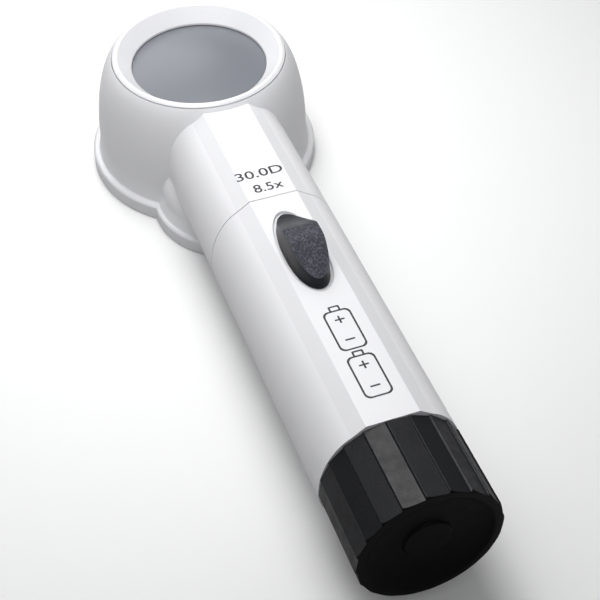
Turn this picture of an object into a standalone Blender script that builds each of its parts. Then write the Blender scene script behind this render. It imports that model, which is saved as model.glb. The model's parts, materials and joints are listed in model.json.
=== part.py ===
"""Illuminated low vision magnifier: a bell-shaped stand with its lens on top and a battery handle.

The bell stands on z = 0. The handle points along +X and rises by TILT, because its frame
is turned about Y. Every piece of the handle is modelled in that frame, where X runs along
the handle's axis, Z points at the flat on top, and the axis is at Y = Z = 0.
"""

import math

import bmesh
import bpy
from mathutils import Vector

MM = 0.001
GAP = 0.3 * MM                      # clearance between neighbouring pieces
SEG = 48                            # sides of the bell
ROUND = 40                          # sides of the screw thread and of the grip
TURNED = 32                         # sides of the other round pieces in the handle
SMALL = 20                          # sides of the lamp and the terminals
THREAD_ROWS = 16

# The bell and its foot
BELL_X = -72.1 * MM                 # the bell's axis, so that the whole object is centred on x = 0
SHOULDER_TOP = 40.0 * MM            # top of the ellipse that the shoulder follows
CREST_R = 25.6 * MM                 # highest ring of the bezel, just inside the seam
CREST_Z = 39.1 * MM
FOOT_R = 35.8 * MM
FOOT_H = 4.8 * MM
WALL_R = 33.6 * MM                  # bell radius just above the foot
DRAFT = math.radians(5.2)
SHOULDER_Z = 10.7 * MM              # where the straight wall turns into the shoulder
SHOULDER_W = 9.2 * MM
WALL = 2.2 * MM

# The lens seat
SPLIT_ANGLE = math.radians(72.8)    # where the bezel meets the shell on the shoulder
APERTURE_R = 20.9 * MM
APERTURE_Z = 34.5 * MM
SEAT_Z = 30.9 * MM
SEAT_R = 21.8 * MM
SEAT_T = 2.0 * MM
LENS_R = 24.0 * MM
LENS_EDGE = 1.8 * MM
LENS_TOP_RISE = 2.6 * MM
LENS_BOTTOM_DROP = 10.0 * MM

# The lamp chamber under the neck
POD_X = 28.0 * MM
POD_FOOT_R = 24.1 * MM
POD_R = 22.6 * MM
POD_TOP = 18.5 * MM

# The handle's frame and section
TILT = math.radians(1.5)
NECK_X = 27.0 * MM                  # the handle frame's origin, from the bell's axis
AXIS_Z = 18.5 * MM
FLAT_Z = 18.7 * MM                  # the flat on top, above the axis
FLAT_W = 6.9 * MM                   # half the flat's width
BEVEL_Z = 16.1 * MM                 # lower edge of the bevel beside the flat
SIDE_Y = 18.95 * MM
SIDE_Z = -1.3 * MM                  # height of the widest place
SIDE_RY = 12.35 * MM               # half axes of the ellipse that each side follows
SIDE_RZ = 18.39 * MM
BOTTOM_Z = -18.2 * MM

# Stations along the handle
JOINT_S = 42.9 * MM                 # seam between neck and handle
CAP_S = 128.6 * MM                  # seam between handle and end cap
END_S = 152.8 * MM
SPIGOT_S = 28.5 * MM
SPIGOT_R = 16.3 * MM
NECK_BORE_S = 3.5 * MM
NECK_BORE_R = 16.6 * MM
WINDOW_R = 11.0 * MM

# The battery tube
BORE_R = 13.6 * MM
TUBE_BORE_R = 16.4 * MM
TUBE_FRONT = 46.0 * MM
TUBE_REAR = 126.0 * MM
RIB_ANGLES = (60, 120, 180, 240, 300)

# The screw thread of the end cap
PITCH = 3.2 * MM
THREAD_H = 0.7 * MM
BOSS_R = 16.6 * MM
BOSS_END = 143.6 * MM
THREAD_START = 131.0 * MM
THREAD_END = 142.0 * MM
CAP_BORE_R = 17.65 * MM
CAP_INNER_END = 148.5 * MM

# The end cap's grip
CAP_FLATS = 20
CAP_R = 19.1 * MM
CAP_STEP = 0.45 * MM
CAP_PHASE = math.radians(12)
DISC_R = 6.0 * MM                   # raised disc in the middle of the dish

# The switch
RECESS_S = (49.7 * MM, 82.7 * MM)
RECESS_W = 5.75 * MM
RECESS_D = 0.9 * MM
OVAL = 2.6                          # exponent of the plan that recess and slider share
SLIDER_S = (51.3 * MM, 81.1 * MM)
SLIDER_W = 5.2 * MM
SLIDER_DRAFT = 0.045                # how far the side walls lean in, per height
SLIDER_EDGE = 0.4 * MM
NOSE_S = 64.5 * MM                  # top of the nose
RIDGE_S = 69.6 * MM                 # ridge across the pad
NOSE_TOP = 7.1 * MM                 # heights above the flat
RIDGE_TOP = 7.3 * MM
PAD_END = 2.4 * MM
SLOT_S = (57.0 * MM, 75.0 * MM)
SLOT_W = 2.6 * MM
SLOT_BOTTOM = 10.0 * MM             # the cutter's foot, inside the bore
KEY_W = 2.9 * MM                    # half the width of the keyways for the strips

# The contact strips
STRIP_Z = 15.3 * MM
STRIP_T = 0.4 * MM
STRIP_W = 2.2 * MM

# The cells
CELL_R = 13.05 * MM
CELL_LENGTH = 49.4 * MM
CELL_FRONT_S = 41.5 * MM            # tip of the front cell's terminal
CELL_REAR_S = 91.3 * MM


# ---------------------------------------------------------------- helpers

def material(name, color, roughness, metallic=0.0, transmission=0.0):
    """Returns a Principled material, made once per name."""
    mat = bpy.data.materials.get(name)
    if mat is None:
        mat = bpy.data.materials.new(name)
        mat.use_nodes = True
        shader = mat.node_tree.nodes["Principled BSDF"]
        shader.inputs["Base Color"].default_value = (*color, 1.0)
        shader.inputs["Roughness"].default_value = roughness
        shader.inputs["Metallic"].default_value = metallic
        shader.inputs["Transmission Weight"].default_value = transmission
    return mat


def white_plastic():
    return material("white_plastic", (0.86, 0.86, 0.87), 0.3)


def black_plastic():
    return material("black_plastic", (0.02, 0.02, 0.025), 0.55)


def cream_plastic():
    return material("cream_plastic", (0.75, 0.72, 0.64), 0.5)


def clear_glass():
    return material("clear_glass", (0.8, 0.83, 0.86), 0.03, transmission=0.9)


def black_rubber():
    return material("black_rubber", (0.03, 0.03, 0.03), 0.8)


def brass():
    return material("brass", (0.72, 0.53, 0.22), 0.3, metallic=1.0)


def nickel():
    return material("nickel", (0.62, 0.6, 0.57), 0.25, metallic=1.0)


def mirror_metal():
    return material("mirror_metal", (0.9, 0.9, 0.9), 0.08, metallic=1.0)


def new_object(name, bm, mat, frame):
    """Makes a mesh object from bm, standing in the given frame."""
    bmesh.ops.remove_doubles(bm, verts=bm.verts, dist=1e-7)
    bmesh.ops.recalc_face_normals(bm, faces=bm.faces)
    mesh = bpy.data.meshes.new(name)
    bm.to_mesh(mesh)
    bm.free()
    mesh.shade_smooth()
    mesh.set_sharp_from_angle(angle=math.radians(35))
    obj = bpy.data.objects.new(name, mesh)
    bpy.context.scene.collection.objects.link(obj)
    obj.parent = frame
    if mat is not None:
        mesh.materials.append(mat)
    return obj


def revolve(name, profile, mat, frame, segments, axis="Z"):
    """Turns a profile of (radius, height) points about the frame's Z or X axis.

    A profile that starts and ends on the axis makes a solid; any other is closed to a ring.
    """
    bm = bmesh.new()
    if axis == "Z":
        points = [(r, 0.0, h) for r, h in profile]
        direction = (0, 0, 1)
    else:
        points = [(h, 0.0, r) for r, h in profile]
        direction = (1, 0, 0)
    verts = [bm.verts.new(p) for p in points]
    solid = profile[0][0] == 0.0 and profile[-1][0] == 0.0
    pairs = list(zip(verts, verts[1:]))
    if not solid:
        pairs.append((verts[-1], verts[0]))
    edges = [bm.edges.new(pair) for pair in pairs]
    bmesh.ops.spin(bm, geom=verts + edges, cent=(0, 0, 0), axis=direction, angle=math.tau,
                   steps=segments, use_merge=True, use_duplicate=False)
    return new_object(name, bm, mat, frame)


def skin(rings, closed_path=False):
    """Joins rings of equal length with quads, and caps the ends unless the path is closed.

    A first or last ring of one point closes that end with a fan.
    """
    bm = bmesh.new()
    loops = [[bm.verts.new(p) for p in ring] for ring in rings]
    paths = list(zip(loops, loops[1:]))
    if closed_path:
        paths.append((loops[-1], loops[0]))
    for a, b in paths:
        count = max(len(a), len(b))
        for i in range(count):
            j = (i + 1) % count
            corners = [a[i % len(a)], a[j % len(a)], b[j % len(b)], b[i % len(b)]]
            bm.faces.new(list(dict.fromkeys(corners)))
    if not closed_path:
        for loop in (loops[0], loops[-1]):
            if len(loop) > 2:
                bm.faces.new(loop)
    return bm


def prism(name, outline, start, end, mat, frame):
    """Extrudes an outline of (y, z) points along X from start to end."""
    bm = bmesh.new()
    face = bm.faces.new([bm.verts.new((start, y, z)) for y, z in outline])
    grown = bmesh.ops.extrude_face_region(bm, geom=[face])
    moved = [g for g in grown["geom"] if isinstance(g, bmesh.types.BMVert)]
    bmesh.ops.translate(bm, verts=moved, vec=(end - start, 0, 0))
    return new_object(name, bm, mat, frame)


def block(name, low, high, mat, frame):
    """A box between two corners."""
    bm = bmesh.new()
    bmesh.ops.create_cube(bm, size=1.0)
    size = Vector(high) - Vector(low)
    bmesh.ops.scale(bm, vec=size, verts=bm.verts)
    bmesh.ops.translate(bm, vec=(Vector(low) + Vector(high)) / 2, verts=bm.verts)
    return new_object(name, bm, mat, frame)


def combine(target, tool, operation):
    """Adds a Boolean with a tool object, which the finished part leaves out."""
    tool.hide_render = True
    tool.display_type = "WIRE"
    modifier = target.modifiers.new(tool.name, "BOOLEAN")
    modifier.operation = operation
    modifier.solver = "EXACT"
    modifier.object = tool


def arc(cx, cy, rx, ry, start, end, steps):
    """Points on an elliptical arc, in degrees, both ends included."""
    points = []
    for i in range(steps + 1):
        a = math.radians(start + (end - start) * i / steps)
        points.append((cx + rx * math.cos(a), cy + ry * math.sin(a)))
    return points


def circle(radius, count=ROUND):
    return [(radius * math.sin(math.tau * i / count), radius * math.cos(math.tau * i / count))
            for i in range(count)]


# ---------------------------------------------------------------- shared shapes

def shoulder(inset=0.0, steps=12, start=0.0, end=90.0):
    """The bell's shoulder as (radius, height) points, from the wall to the crest."""
    wall_r = WALL_R - (SHOULDER_Z - FOOT_H) * math.tan(DRAFT)
    centre_r = wall_r - SHOULDER_W
    return arc(centre_r, SHOULDER_Z, SHOULDER_W - inset, SHOULDER_TOP - SHOULDER_Z - inset, start, end, steps)


def split_point():
    """Where the bezel meets the shell, on the shoulder."""
    return shoulder(0.0, 1, math.degrees(SPLIT_ANGLE), 90.0)[0]


def foot_edge(radius, top, wall_r):
    """The rounded lip of the foot, from its sole to the wall above it."""
    lip = 0.9 * MM
    return [(radius, 0.0)] + arc(radius - lip, top - lip, lip, lip, 0, 90, 3) + [(wall_r, top)]


def handle_outline():
    """The handle's section as (y, z) points, clockwise from the flat's right corner."""
    side_angle = math.degrees(math.asin((BEVEL_Z - SIDE_Z) / SIDE_RZ))
    half = [(FLAT_W, FLAT_Z)]
    half += arc(SIDE_Y - SIDE_RY, SIDE_Z, SIDE_RY, SIDE_RZ, side_angle, 0, 6)
    half += arc(0.0, SIDE_Z, SIDE_Y, SIDE_Z - BOTTOM_Z, 0, -90, 7)[1:]
    return half + [(-y, z) for y, z in reversed(half[:-1])]


def thread_height(s, angle, offset=0.0):
    """Height of a helical ridge of trapezoid section, fading at both ends of the thread.

    The cap's ridge has an offset of half a pitch, so that it meshes with the boss's.
    """
    phase = ((s - THREAD_START) / PITCH + angle / math.tau + offset) % 1.0
    ridge = min(1.0, max(0.0, 1.6 - 5.0 * abs(phase - 0.5)))
    from_ends = min(s - THREAD_START, THREAD_END - s)
    return THREAD_H * ridge * min(1.0, 2.0 * from_ends / PITCH)


def ring_at(s, radius, count=ROUND):
    return [(s, y, z) for y, z in circle(radius, count)]


# ---------------------------------------------------------------- the head

def head_shell(head, handle):
    """Bell, foot, lamp chamber and neck, moulded in one piece."""
    split_r, split_z = split_point()
    outside = [(0.0, 0.0)] + foot_edge(FOOT_R, FOOT_H, WALL_R)
    outside += shoulder(0.0, 9, 0.0, math.degrees(SPLIT_ANGLE)) + [(0.0, split_z)]
    shell = revolve("head_shell", outside, white_plastic(), head, SEG)

    neck = prism("neck_solid", handle_outline(), -4 * MM, JOINT_S - GAP / 2, None, handle)
    combine(shell, neck, "UNION")

    pod_wall = POD_R - 1.0 * MM
    pod_profile = [(0.0, 0.0)] + foot_edge(POD_FOOT_R, FOOT_H - 0.05 * MM, POD_R)
    pod_profile += arc(pod_wall - 8 * MM, 8 * MM, 8 * MM, POD_TOP - 8 * MM, 0, 90, 6) + [(0.0, POD_TOP)]
    pod = revolve("pod_solid", pod_profile, None, head, 40)
    pod.location.x = POD_X
    combine(shell, pod, "UNION")

    under = [(0.0, -1 * MM), (FOOT_R - 3.4 * MM, -1 * MM), (WALL_R - WALL, FOOT_H)]
    under += shoulder(WALL, 4, 0.0, 48.0)
    under += [(SEAT_R, SEAT_Z - SEAT_T), (SEAT_R, SEAT_Z), (split_r + GAP, SEAT_Z)]
    under += [(split_r + GAP, SHOULDER_TOP + 5 * MM), (0.0, SHOULDER_TOP + 5 * MM)]
    combine(shell, revolve("bell_hollow", under, None, head, SEG), "DIFFERENCE")

    chamber_r = POD_R - WALL
    chamber = [(0.0, -1 * MM), (chamber_r, -1 * MM), (chamber_r - 0.4 * MM, 7 * MM)]
    chamber += arc(chamber_r - 7 * MM, 7.5 * MM, 6 * MM, POD_TOP - WALL - 7.5 * MM, 0, 90, 4)
    chamber += [(0.0, POD_TOP - WALL)]
    chamber_tool = revolve("chamber_hollow", chamber, None, head, TURNED)
    chamber_tool.location.x = POD_X
    combine(shell, chamber_tool, "DIFFERENCE")

    bore = [(0.0, -8 * MM), (WINDOW_R, -8 * MM), (WINDOW_R, NECK_BORE_S), (NECK_BORE_R, NECK_BORE_S)]
    bore += [(NECK_BORE_R, JOINT_S + 1 * MM), (0.0, JOINT_S + 1 * MM)]
    combine(shell, revolve("neck_bore", bore, None, handle, TURNED, axis="X"), "DIFFERENCE")


def lens_bezel(head):
    """Ring that closes the top of the bell: low crest, cone down to the lens, and a skirt."""
    split_r, split_z = split_point()
    skirt_bottom = SEAT_Z + GAP
    lip_z = SEAT_Z + 3 * MM + GAP
    profile = [(split_r, skirt_bottom), (split_r, split_z), (CREST_R + 0.3 * MM, CREST_Z - 0.05 * MM)]
    profile += [(CREST_R, CREST_Z), (CREST_R - 0.4 * MM, CREST_Z - 0.1 * MM)]
    profile += [(APERTURE_R + 0.25 * MM, APERTURE_Z + 0.5 * MM), (APERTURE_R, APERTURE_Z + 0.25 * MM)]
    profile += [(APERTURE_R, lip_z), (LENS_R + GAP, lip_z), (LENS_R + GAP, skirt_bottom)]
    revolve("lens_bezel", profile, white_plastic(), head, SEG)


def sag(radius, reach, drop):
    """Depth of a spherical cap at a radius, for a cap that drops by drop at reach."""
    sphere = (reach ** 2 + drop ** 2) / (2 * drop)
    return sphere - math.sqrt(sphere ** 2 - radius ** 2)


def lens(head):
    """Thick convex lens with a narrow flat rim."""
    edge_bottom = SEAT_Z + 1.2 * MM
    edge_top = edge_bottom + LENS_EDGE
    reach = SEAT_R - 0.8 * MM
    steps = 5
    radii = [reach * i / steps for i in range(steps + 1)]
    bottom = edge_bottom - LENS_BOTTOM_DROP
    profile = [(r, bottom + sag(r, reach, LENS_BOTTOM_DROP)) for r in radii]
    profile += [(LENS_R, edge_bottom), (LENS_R, edge_top)]
    top = edge_top + LENS_TOP_RISE
    profile += [(r, top - sag(r, reach, LENS_TOP_RISE)) for r in reversed(radii)]
    revolve("lens", profile, clear_glass(), head, 40)


def lens_gasket(head):
    """Thin washer between the seat and the lens rim."""
    bottom = SEAT_Z + GAP
    top = bottom + 0.6 * MM
    inner = SEAT_R + 0.2 * MM
    outer = LENS_R
    revolve("lens_gasket", [(inner, bottom), (outer, bottom), (outer, top), (inner, top)],
            black_rubber(), head, TURNED)


# ---------------------------------------------------------------- the handle's casing

def threaded_boss():
    """The round neck at the back of the handle, with the cap's screw thread on it."""
    rings = [[(CAP_S - 4 * MM, 0.0, 0.0)], ring_at(CAP_S - 4 * MM, BOSS_R)]
    groove = BOSS_R - 0.8 * MM
    rings += [ring_at(CAP_S, BOSS_R), ring_at(CAP_S + 0.01 * MM, groove)]
    rings += [ring_at(CAP_S + 1.7 * MM, groove), ring_at(CAP_S + 1.8 * MM, BOSS_R)]
    for row in range(THREAD_ROWS + 1):
        s = THREAD_START + (THREAD_END - THREAD_START) * row / THREAD_ROWS
        ring = []
        for i in range(ROUND):
            angle = math.tau * i / ROUND
            r = BOSS_R + thread_height(s, angle)
            ring.append((s, r * math.sin(angle), r * math.cos(angle)))
        rings.append(ring)
    rings += [ring_at(BOSS_END - 0.5 * MM, BOSS_R), ring_at(BOSS_END, BOSS_R - 0.5 * MM)]
    rings.append([(BOSS_END, 0.0, 0.0)])
    return skin(rings)


def oval(s_range, half_width):
    """Plan of the switch's recess as (x, y) points: an oval with pointed ends."""
    middle = (s_range[0] + s_range[1]) / 2
    reach = (s_range[1] - s_range[0]) / 2
    points = []
    for i in range(ROUND):
        angle = math.tau * i / ROUND
        width = half_width * math.sqrt(max(0.0, 1.0 - abs(math.cos(angle)) ** OVAL))
        points.append((middle + reach * math.cos(angle), math.copysign(width, math.sin(angle))))
    return points


def stadium(s_range, half_width):
    """Plan of a slot with round ends, as (x, y) points."""
    first = s_range[0] + half_width
    last = s_range[1] - half_width
    points = [(last + x, y) for x, y in arc(0, 0, half_width, half_width, -90, 90, 8)]
    return points + [(first + x, y) for x, y in arc(0, 0, half_width, half_width, 90, 270, 8)]


def flat_cutter(name, plan, low, frame):
    """Cutting tool that sinks a plan into the flat, down to the height low."""
    bm = bmesh.new()
    face = bm.faces.new([bm.verts.new((x, y, low)) for x, y in plan])
    grown = bmesh.ops.extrude_face_region(bm, geom=[face])
    moved = [g for g in grown["geom"] if isinstance(g, bmesh.types.BMVert)]
    bmesh.ops.translate(bm, verts=moved, vec=(0, 0, FLAT_Z + 3 * MM - low))
    return new_object(name, bm, None, frame)


def ribbed_bore_outline():
    """The tube's inside: round, with ribs that centre the cells."""
    points = []
    count = 72
    for i in range(count):
        degrees = 360.0 * i / count
        rib = any(abs(degrees - a) < 3 for a in RIB_ANGLES)
        if rib:
            half = math.radians(2.6)
            for side in (-half, half):
                angle = math.radians(degrees) + side
                points.append((BORE_R * math.sin(angle), BORE_R * math.cos(angle)))
        elif i % 3 == 0 or any(abs(degrees - a) < 6 for a in RIB_ANGLES):
            angle = math.radians(degrees)
            points.append((TUBE_BORE_R * math.sin(angle), TUBE_BORE_R * math.cos(angle)))
    return points


def handle_tube(handle):
    """Battery tube: spigot at the front, ribbed inside, threaded boss at the back."""
    tube = prism("handle_tube", handle_outline(), JOINT_S + GAP / 2, CAP_S - GAP / 2,
                 white_plastic(), handle)
    spigot = [(0.0, SPIGOT_S), (SPIGOT_R - 0.6 * MM, SPIGOT_S), (SPIGOT_R, SPIGOT_S + 0.8 * MM)]
    spigot += [(SPIGOT_R, JOINT_S + 3 * MM), (0.0, JOINT_S + 3 * MM)]
    combine(tube, revolve("spigot_solid", spigot, None, handle, TURNED, axis="X"), "UNION")
    combine(tube, new_object("boss_solid", threaded_boss(), None, handle), "UNION")

    through = [(0.0, SPIGOT_S - 2 * MM), (BORE_R, SPIGOT_S - 2 * MM), (BORE_R, BOSS_END + 2 * MM)]
    through += [(0.0, BOSS_END + 2 * MM)]
    combine(tube, revolve("battery_bore", through, None, handle, TURNED, axis="X"), "DIFFERENCE")
    ribbed = prism("ribbed_bore", ribbed_bore_outline(), TUBE_FRONT, TUBE_REAR, None, handle)
    combine(tube, ribbed, "DIFFERENCE")

    recess = flat_cutter("recess_cut", oval(RECESS_S, RECESS_W), FLAT_Z - RECESS_D, handle)
    combine(tube, recess, "DIFFERENCE")
    slot = flat_cutter("slot_cut", stadium(SLOT_S, SLOT_W), SLOT_BOTTOM, handle)
    combine(tube, slot, "DIFFERENCE")

    front_key = block("front_key_cut", (JOINT_S - 2.9 * MM, -KEY_W, SLOT_BOTTOM),
                      (TUBE_FRONT + 1 * MM, KEY_W, 16.25 * MM), None, handle)
    combine(tube, front_key, "DIFFERENCE")
    rear_key = block("rear_key_cut", (TUBE_REAR - 1 * MM, -KEY_W, SLOT_BOTTOM),
                     (BOSS_END + 1 * MM, KEY_W, 16.15 * MM), None, handle)
    combine(tube, rear_key, "DIFFERENCE")


def end_cap(cap):
    """Screw cap with saw-tooth flats round its grip, a dished end and an inner thread."""
    def grip(s, shrink=0.0):
        ring = []
        for i in range(CAP_FLATS):
            base = CAP_PHASE + math.tau * i / CAP_FLATS
            for turn, radius in ((0.0, CAP_R), (math.tau / CAP_FLATS * 0.94, CAP_R - CAP_STEP)):
                r = radius - shrink
                ring.append((s, r * math.sin(base + turn), r * math.cos(base + turn)))
        return ring

    def plain(s, radius):
        return [(s, radius * math.sin(CAP_PHASE + math.tau * i / ROUND),
                 radius * math.cos(CAP_PHASE + math.tau * i / ROUND)) for i in range(ROUND)]

    disc_s = END_S - 1.5 * MM
    dish_s = END_S - 2.3 * MM
    rings = [[(disc_s, 0.0, 0.0)], plain(disc_s, DISC_R), plain(dish_s, DISC_R + 0.4 * MM)]
    rings += [plain(dish_s + 0.3 * MM, 12.0 * MM), plain(END_S - 0.7 * MM, 15.9 * MM)]
    rings += [plain(END_S - 0.1 * MM, 16.5 * MM), plain(END_S, 17.4 * MM)]
    rings += [grip(END_S - 0.1 * MM, 0.5 * MM), grip(END_S - 0.6 * MM), grip(CAP_S + GAP / 2)]
    rings += [plain(CAP_S + GAP / 2, CAP_BORE_R + 0.25 * MM), plain(CAP_S + 1.9 * MM, CAP_BORE_R + 0.25 * MM)]
    for row in range(THREAD_ROWS + 1):
        s = THREAD_START + (THREAD_END - THREAD_START) * row / THREAD_ROWS
        ring = []
        for i in range(ROUND):
            angle = CAP_PHASE + math.tau * i / ROUND
            r = CAP_BORE_R - thread_height(s, angle, 0.5)
            ring.append((s, r * math.sin(angle), r * math.cos(angle)))
        rings.append(ring)
    rings += [plain(CAP_INNER_END - 0.6 * MM, CAP_BORE_R), plain(CAP_INNER_END, CAP_BORE_R - 0.6 * MM)]
    rings.append([(CAP_INNER_END, 0.0, 0.0)])
    new_object("end_cap", skin(rings), black_plastic(), cap)


def cap_seal(handle):
    """Rubber ring in the groove behind the handle's shoulder."""
    minor = 0.55 * MM
    profile = arc(BOSS_R + 0.15 * MM, CAP_S + 0.9 * MM, minor, minor, 0, 300, 5)
    revolve("cap_seal", profile, black_rubber(), handle, TURNED, axis="X")


# ---------------------------------------------------------------- the switch

def slider_section(s, base_w, top_w, height):
    """One section across the thumb piece, as (s, y, z) points."""
    bottom = FLAT_Z - RECESS_D + GAP
    top = FLAT_Z + height
    half = [(base_w, bottom), (base_w, FLAT_Z), (top_w, top - SLIDER_EDGE)]
    half.append((top_w - min(SLIDER_EDGE, top_w / 2), top))
    return [(s, y, z) for y, z in half] + [(s, -y, z) for y, z in reversed(half)]


def slider_heights(s):
    """Height above the flat, and the widest the top may be, at a station of the thumb piece."""
    start, end = SLIDER_S
    if s < NOSE_S:
        rise = (s - start) / (NOSE_S - start)
        return SLIDER_EDGE + (NOSE_TOP - SLIDER_EDGE) * rise ** 1.4, SLIDER_W
    if s < RIDGE_S:
        return NOSE_TOP + (RIDGE_TOP - NOSE_TOP) * (s - NOSE_S) / (RIDGE_S - NOSE_S), SLIDER_W
    fall = (s - RIDGE_S) / (end - RIDGE_S)
    return RIDGE_TOP - (RIDGE_TOP - PAD_END) * fall, (4.75 - 4.1 * fall ** 2.4) * MM


def switch_slider(switch):
    """Thumb piece: smooth nose, a ridge, and a pad that tapers to a point at the back."""
    start, end = SLIDER_S
    length = end - start
    ends = [0.004, 0.02, 0.05, 0.1]
    stations = [start + length * t for t in ends + [0.17, 0.26, 0.36]]
    stations += [NOSE_S - 0.3 * MM, NOSE_S + 0.3 * MM, RIDGE_S - 0.2 * MM, RIDGE_S + 0.2 * MM]
    stations += [end - length * t for t in [0.3, 0.22, 0.16, *reversed(ends)]]
    rings = []
    for s in stations:
        base_w = SLIDER_W * math.sqrt(1 - abs(2 * (s - start) / length - 1) ** OVAL)
        height, widest = slider_heights(s)
        top_w = min(base_w - SLIDER_DRAFT * height, widest)
        rings.append(slider_section(s, base_w, max(top_w, base_w / 2), height))
    slider = new_object("switch_slider", skin(rings), black_plastic(), switch)
    stem = block("stem_solid", (61.3 * MM, GAP - SLOT_W, STRIP_Z + 0.2 * MM),
                 (70.7 * MM, SLOT_W - GAP, FLAT_Z + 1 * MM), None, switch)
    combine(slider, stem, "UNION")


def switch_contact(switch):
    """Sprung brass bridge under the thumb piece, which joins the two strips."""
    outline = [(57.5, 14.9), (59.5, 14.5), (62.0, 14.9), (70.0, 14.9), (72.5, 14.5), (74.5, 14.9)]
    bent_strip("switch_contact", outline, 0.35 * MM, 2.3 * MM, brass(), switch)


def switch_rivet(switch):
    """Rivet that holds the bridge on the stem."""
    bm = bmesh.new()
    bmesh.ops.create_cone(bm, cap_ends=True, segments=16, radius1=1.0 * MM, radius2=1.4 * MM,
                          depth=0.5 * MM)
    bmesh.ops.translate(bm, vec=(66.0 * MM, 0, 13.9 * MM), verts=bm.verts)
    new_object("switch_rivet", bm, nickel(), switch)


def bent_strip(name, path_mm, thickness, half_width, mat, frame):
    """A strip of sheet metal bent in the X-Z plane along a path given in millimetres."""
    path = [Vector((x, z)) * MM for x, z in path_mm]
    offsets = []
    for i, point in enumerate(path):
        before = (point - path[i - 1]).normalized() if i else None
        after = (path[i + 1] - point).normalized() if i < len(path) - 1 else None
        normals = [Vector((-d.y, d.x)) for d in (before, after) if d is not None]
        middle = sum(normals, Vector((0.0, 0.0))).normalized()
        offsets.append(middle * thickness / middle.dot(normals[0]))
    outline = path + [p + o for p, o in reversed(list(zip(path, offsets)))]
    bm = bmesh.new()
    face = bm.faces.new([bm.verts.new((p.x, -half_width, p.y)) for p in outline])
    grown = bmesh.ops.extrude_face_region(bm, geom=[face])
    moved = [g for g in grown["geom"] if isinstance(g, bmesh.types.BMVert)]
    bmesh.ops.translate(bm, verts=moved, vec=(0, 2 * half_width, 0))
    return new_object(name, bm, mat, frame)


def contact_strips(handle):
    """The two strips that carry the current along the top of the tube."""
    top = STRIP_Z / MM
    front = [(40.7, 7.6), (40.7, top), (60.0, top)]
    bent_strip("front_contact_strip", front, STRIP_T, STRIP_W, brass(), handle)
    rear = [(72.0, top), (144.2, top), (144.2, top + 1.1)]
    bent_strip("rear_contact_strip", rear, STRIP_T, STRIP_W, brass(), handle)


# ---------------------------------------------------------------- the lamp

def lamp_reflector(handle):
    """Bright cup round the bulb."""
    rear_s = 29.4 * MM
    rear_r = 6.2 * MM
    curve = 0.0592 / MM
    wall = 0.7 * MM
    radii = [rear_r + (15.6 * MM - rear_r) * i / 8 for i in range(5)]
    inner = [(r, rear_s - curve * (r ** 2 - rear_r ** 2)) for r in radii]
    outer = [(r + wall * 0.8, s + wall * 0.6) for r, s in reversed(inner)]
    revolve("lamp_reflector", inner + outer, mirror_metal(), handle, SMALL, axis="X")


def lamp_holder(handle):
    """Moulded plug in the spigot, which carries the lamp socket."""
    front = 30.3 * MM
    rear = 39.5 * MM
    bore = 5.9 * MM
    outer = BORE_R - GAP
    profile = [(bore, front), (9.0 * MM, front), (9.6 * MM, front + 1.5 * MM), (outer, front + 1.5 * MM)]
    profile += [(outer, rear), (bore, rear)]
    revolve("lamp_holder", profile, cream_plastic(), handle, SMALL, axis="X")


def lamp_socket(handle):
    """Metal sleeve that the bulb screws into, with a flange for its contact strip."""
    profile = [(5.1 * MM, 30.5 * MM), (5.6 * MM, 30.5 * MM), (5.6 * MM, 39.8 * MM), (8.3 * MM, 39.8 * MM)]
    profile += [(8.3 * MM, 40.3 * MM), (5.1 * MM, 40.3 * MM)]
    revolve("lamp_socket", profile, nickel(), handle, SMALL, axis="X")


def lamp_centre_contact(handle):
    """Domed contact between the bulb's tip and the front cell."""
    profile = [(0.0, 40.0 * MM), (1.5 * MM, 40.0 * MM), (3.4 * MM, 40.4 * MM), (3.4 * MM, 40.8 * MM)]
    profile += [(1.5 * MM, 41.1 * MM), (0.0, 41.1 * MM)]
    revolve("lamp_centre_contact", profile, brass(), handle, SMALL, axis="X")


def bulb(handle):
    """Screw-in bulb: glass, threaded shell, insulator and tip."""
    glass = [(0.0, 15.2 * MM)] + [(r, s) for s, r in arc(20.8 * MM, 0, 5.6 * MM, 5.6 * MM, 150, 20, 5)]
    glass += [(3.6 * MM, 28.2 * MM), (3.6 * MM, 29.6 * MM), (0.0, 29.6 * MM)]
    revolve("bulb_glass", glass, clear_glass(), handle, SMALL, axis="X")
    shell = [(4.1 * MM, 28.4 * MM), (4.7 * MM, 28.4 * MM)]
    for turn in range(4):
        base = 29.4 * MM + turn * 2.0 * MM
        shell += [(4.3 * MM, base), (4.7 * MM, base + 1.0 * MM)]
    shell += [(4.3 * MM, 37.2 * MM), (3.9 * MM, 37.2 * MM), (3.9 * MM, 30.0 * MM)]
    revolve("bulb_shell", shell, nickel(), handle, SMALL, axis="X")
    insulator = [(0.0, 36.6 * MM), (3.6 * MM, 36.6 * MM), (3.6 * MM, 37.5 * MM), (1.9 * MM, 38.7 * MM)]
    insulator.append((0.0, 38.7 * MM))
    revolve("bulb_insulator", insulator, black_plastic(), handle, SMALL, axis="X")
    tip = [(0.0, 39.0 * MM), (1.5 * MM, 39.0 * MM), (1.2 * MM, 39.5 * MM), (0.0, 39.7 * MM)]
    revolve("bulb_tip", tip, nickel(), handle, 16, axis="X")


# ---------------------------------------------------------------- the cells

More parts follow.
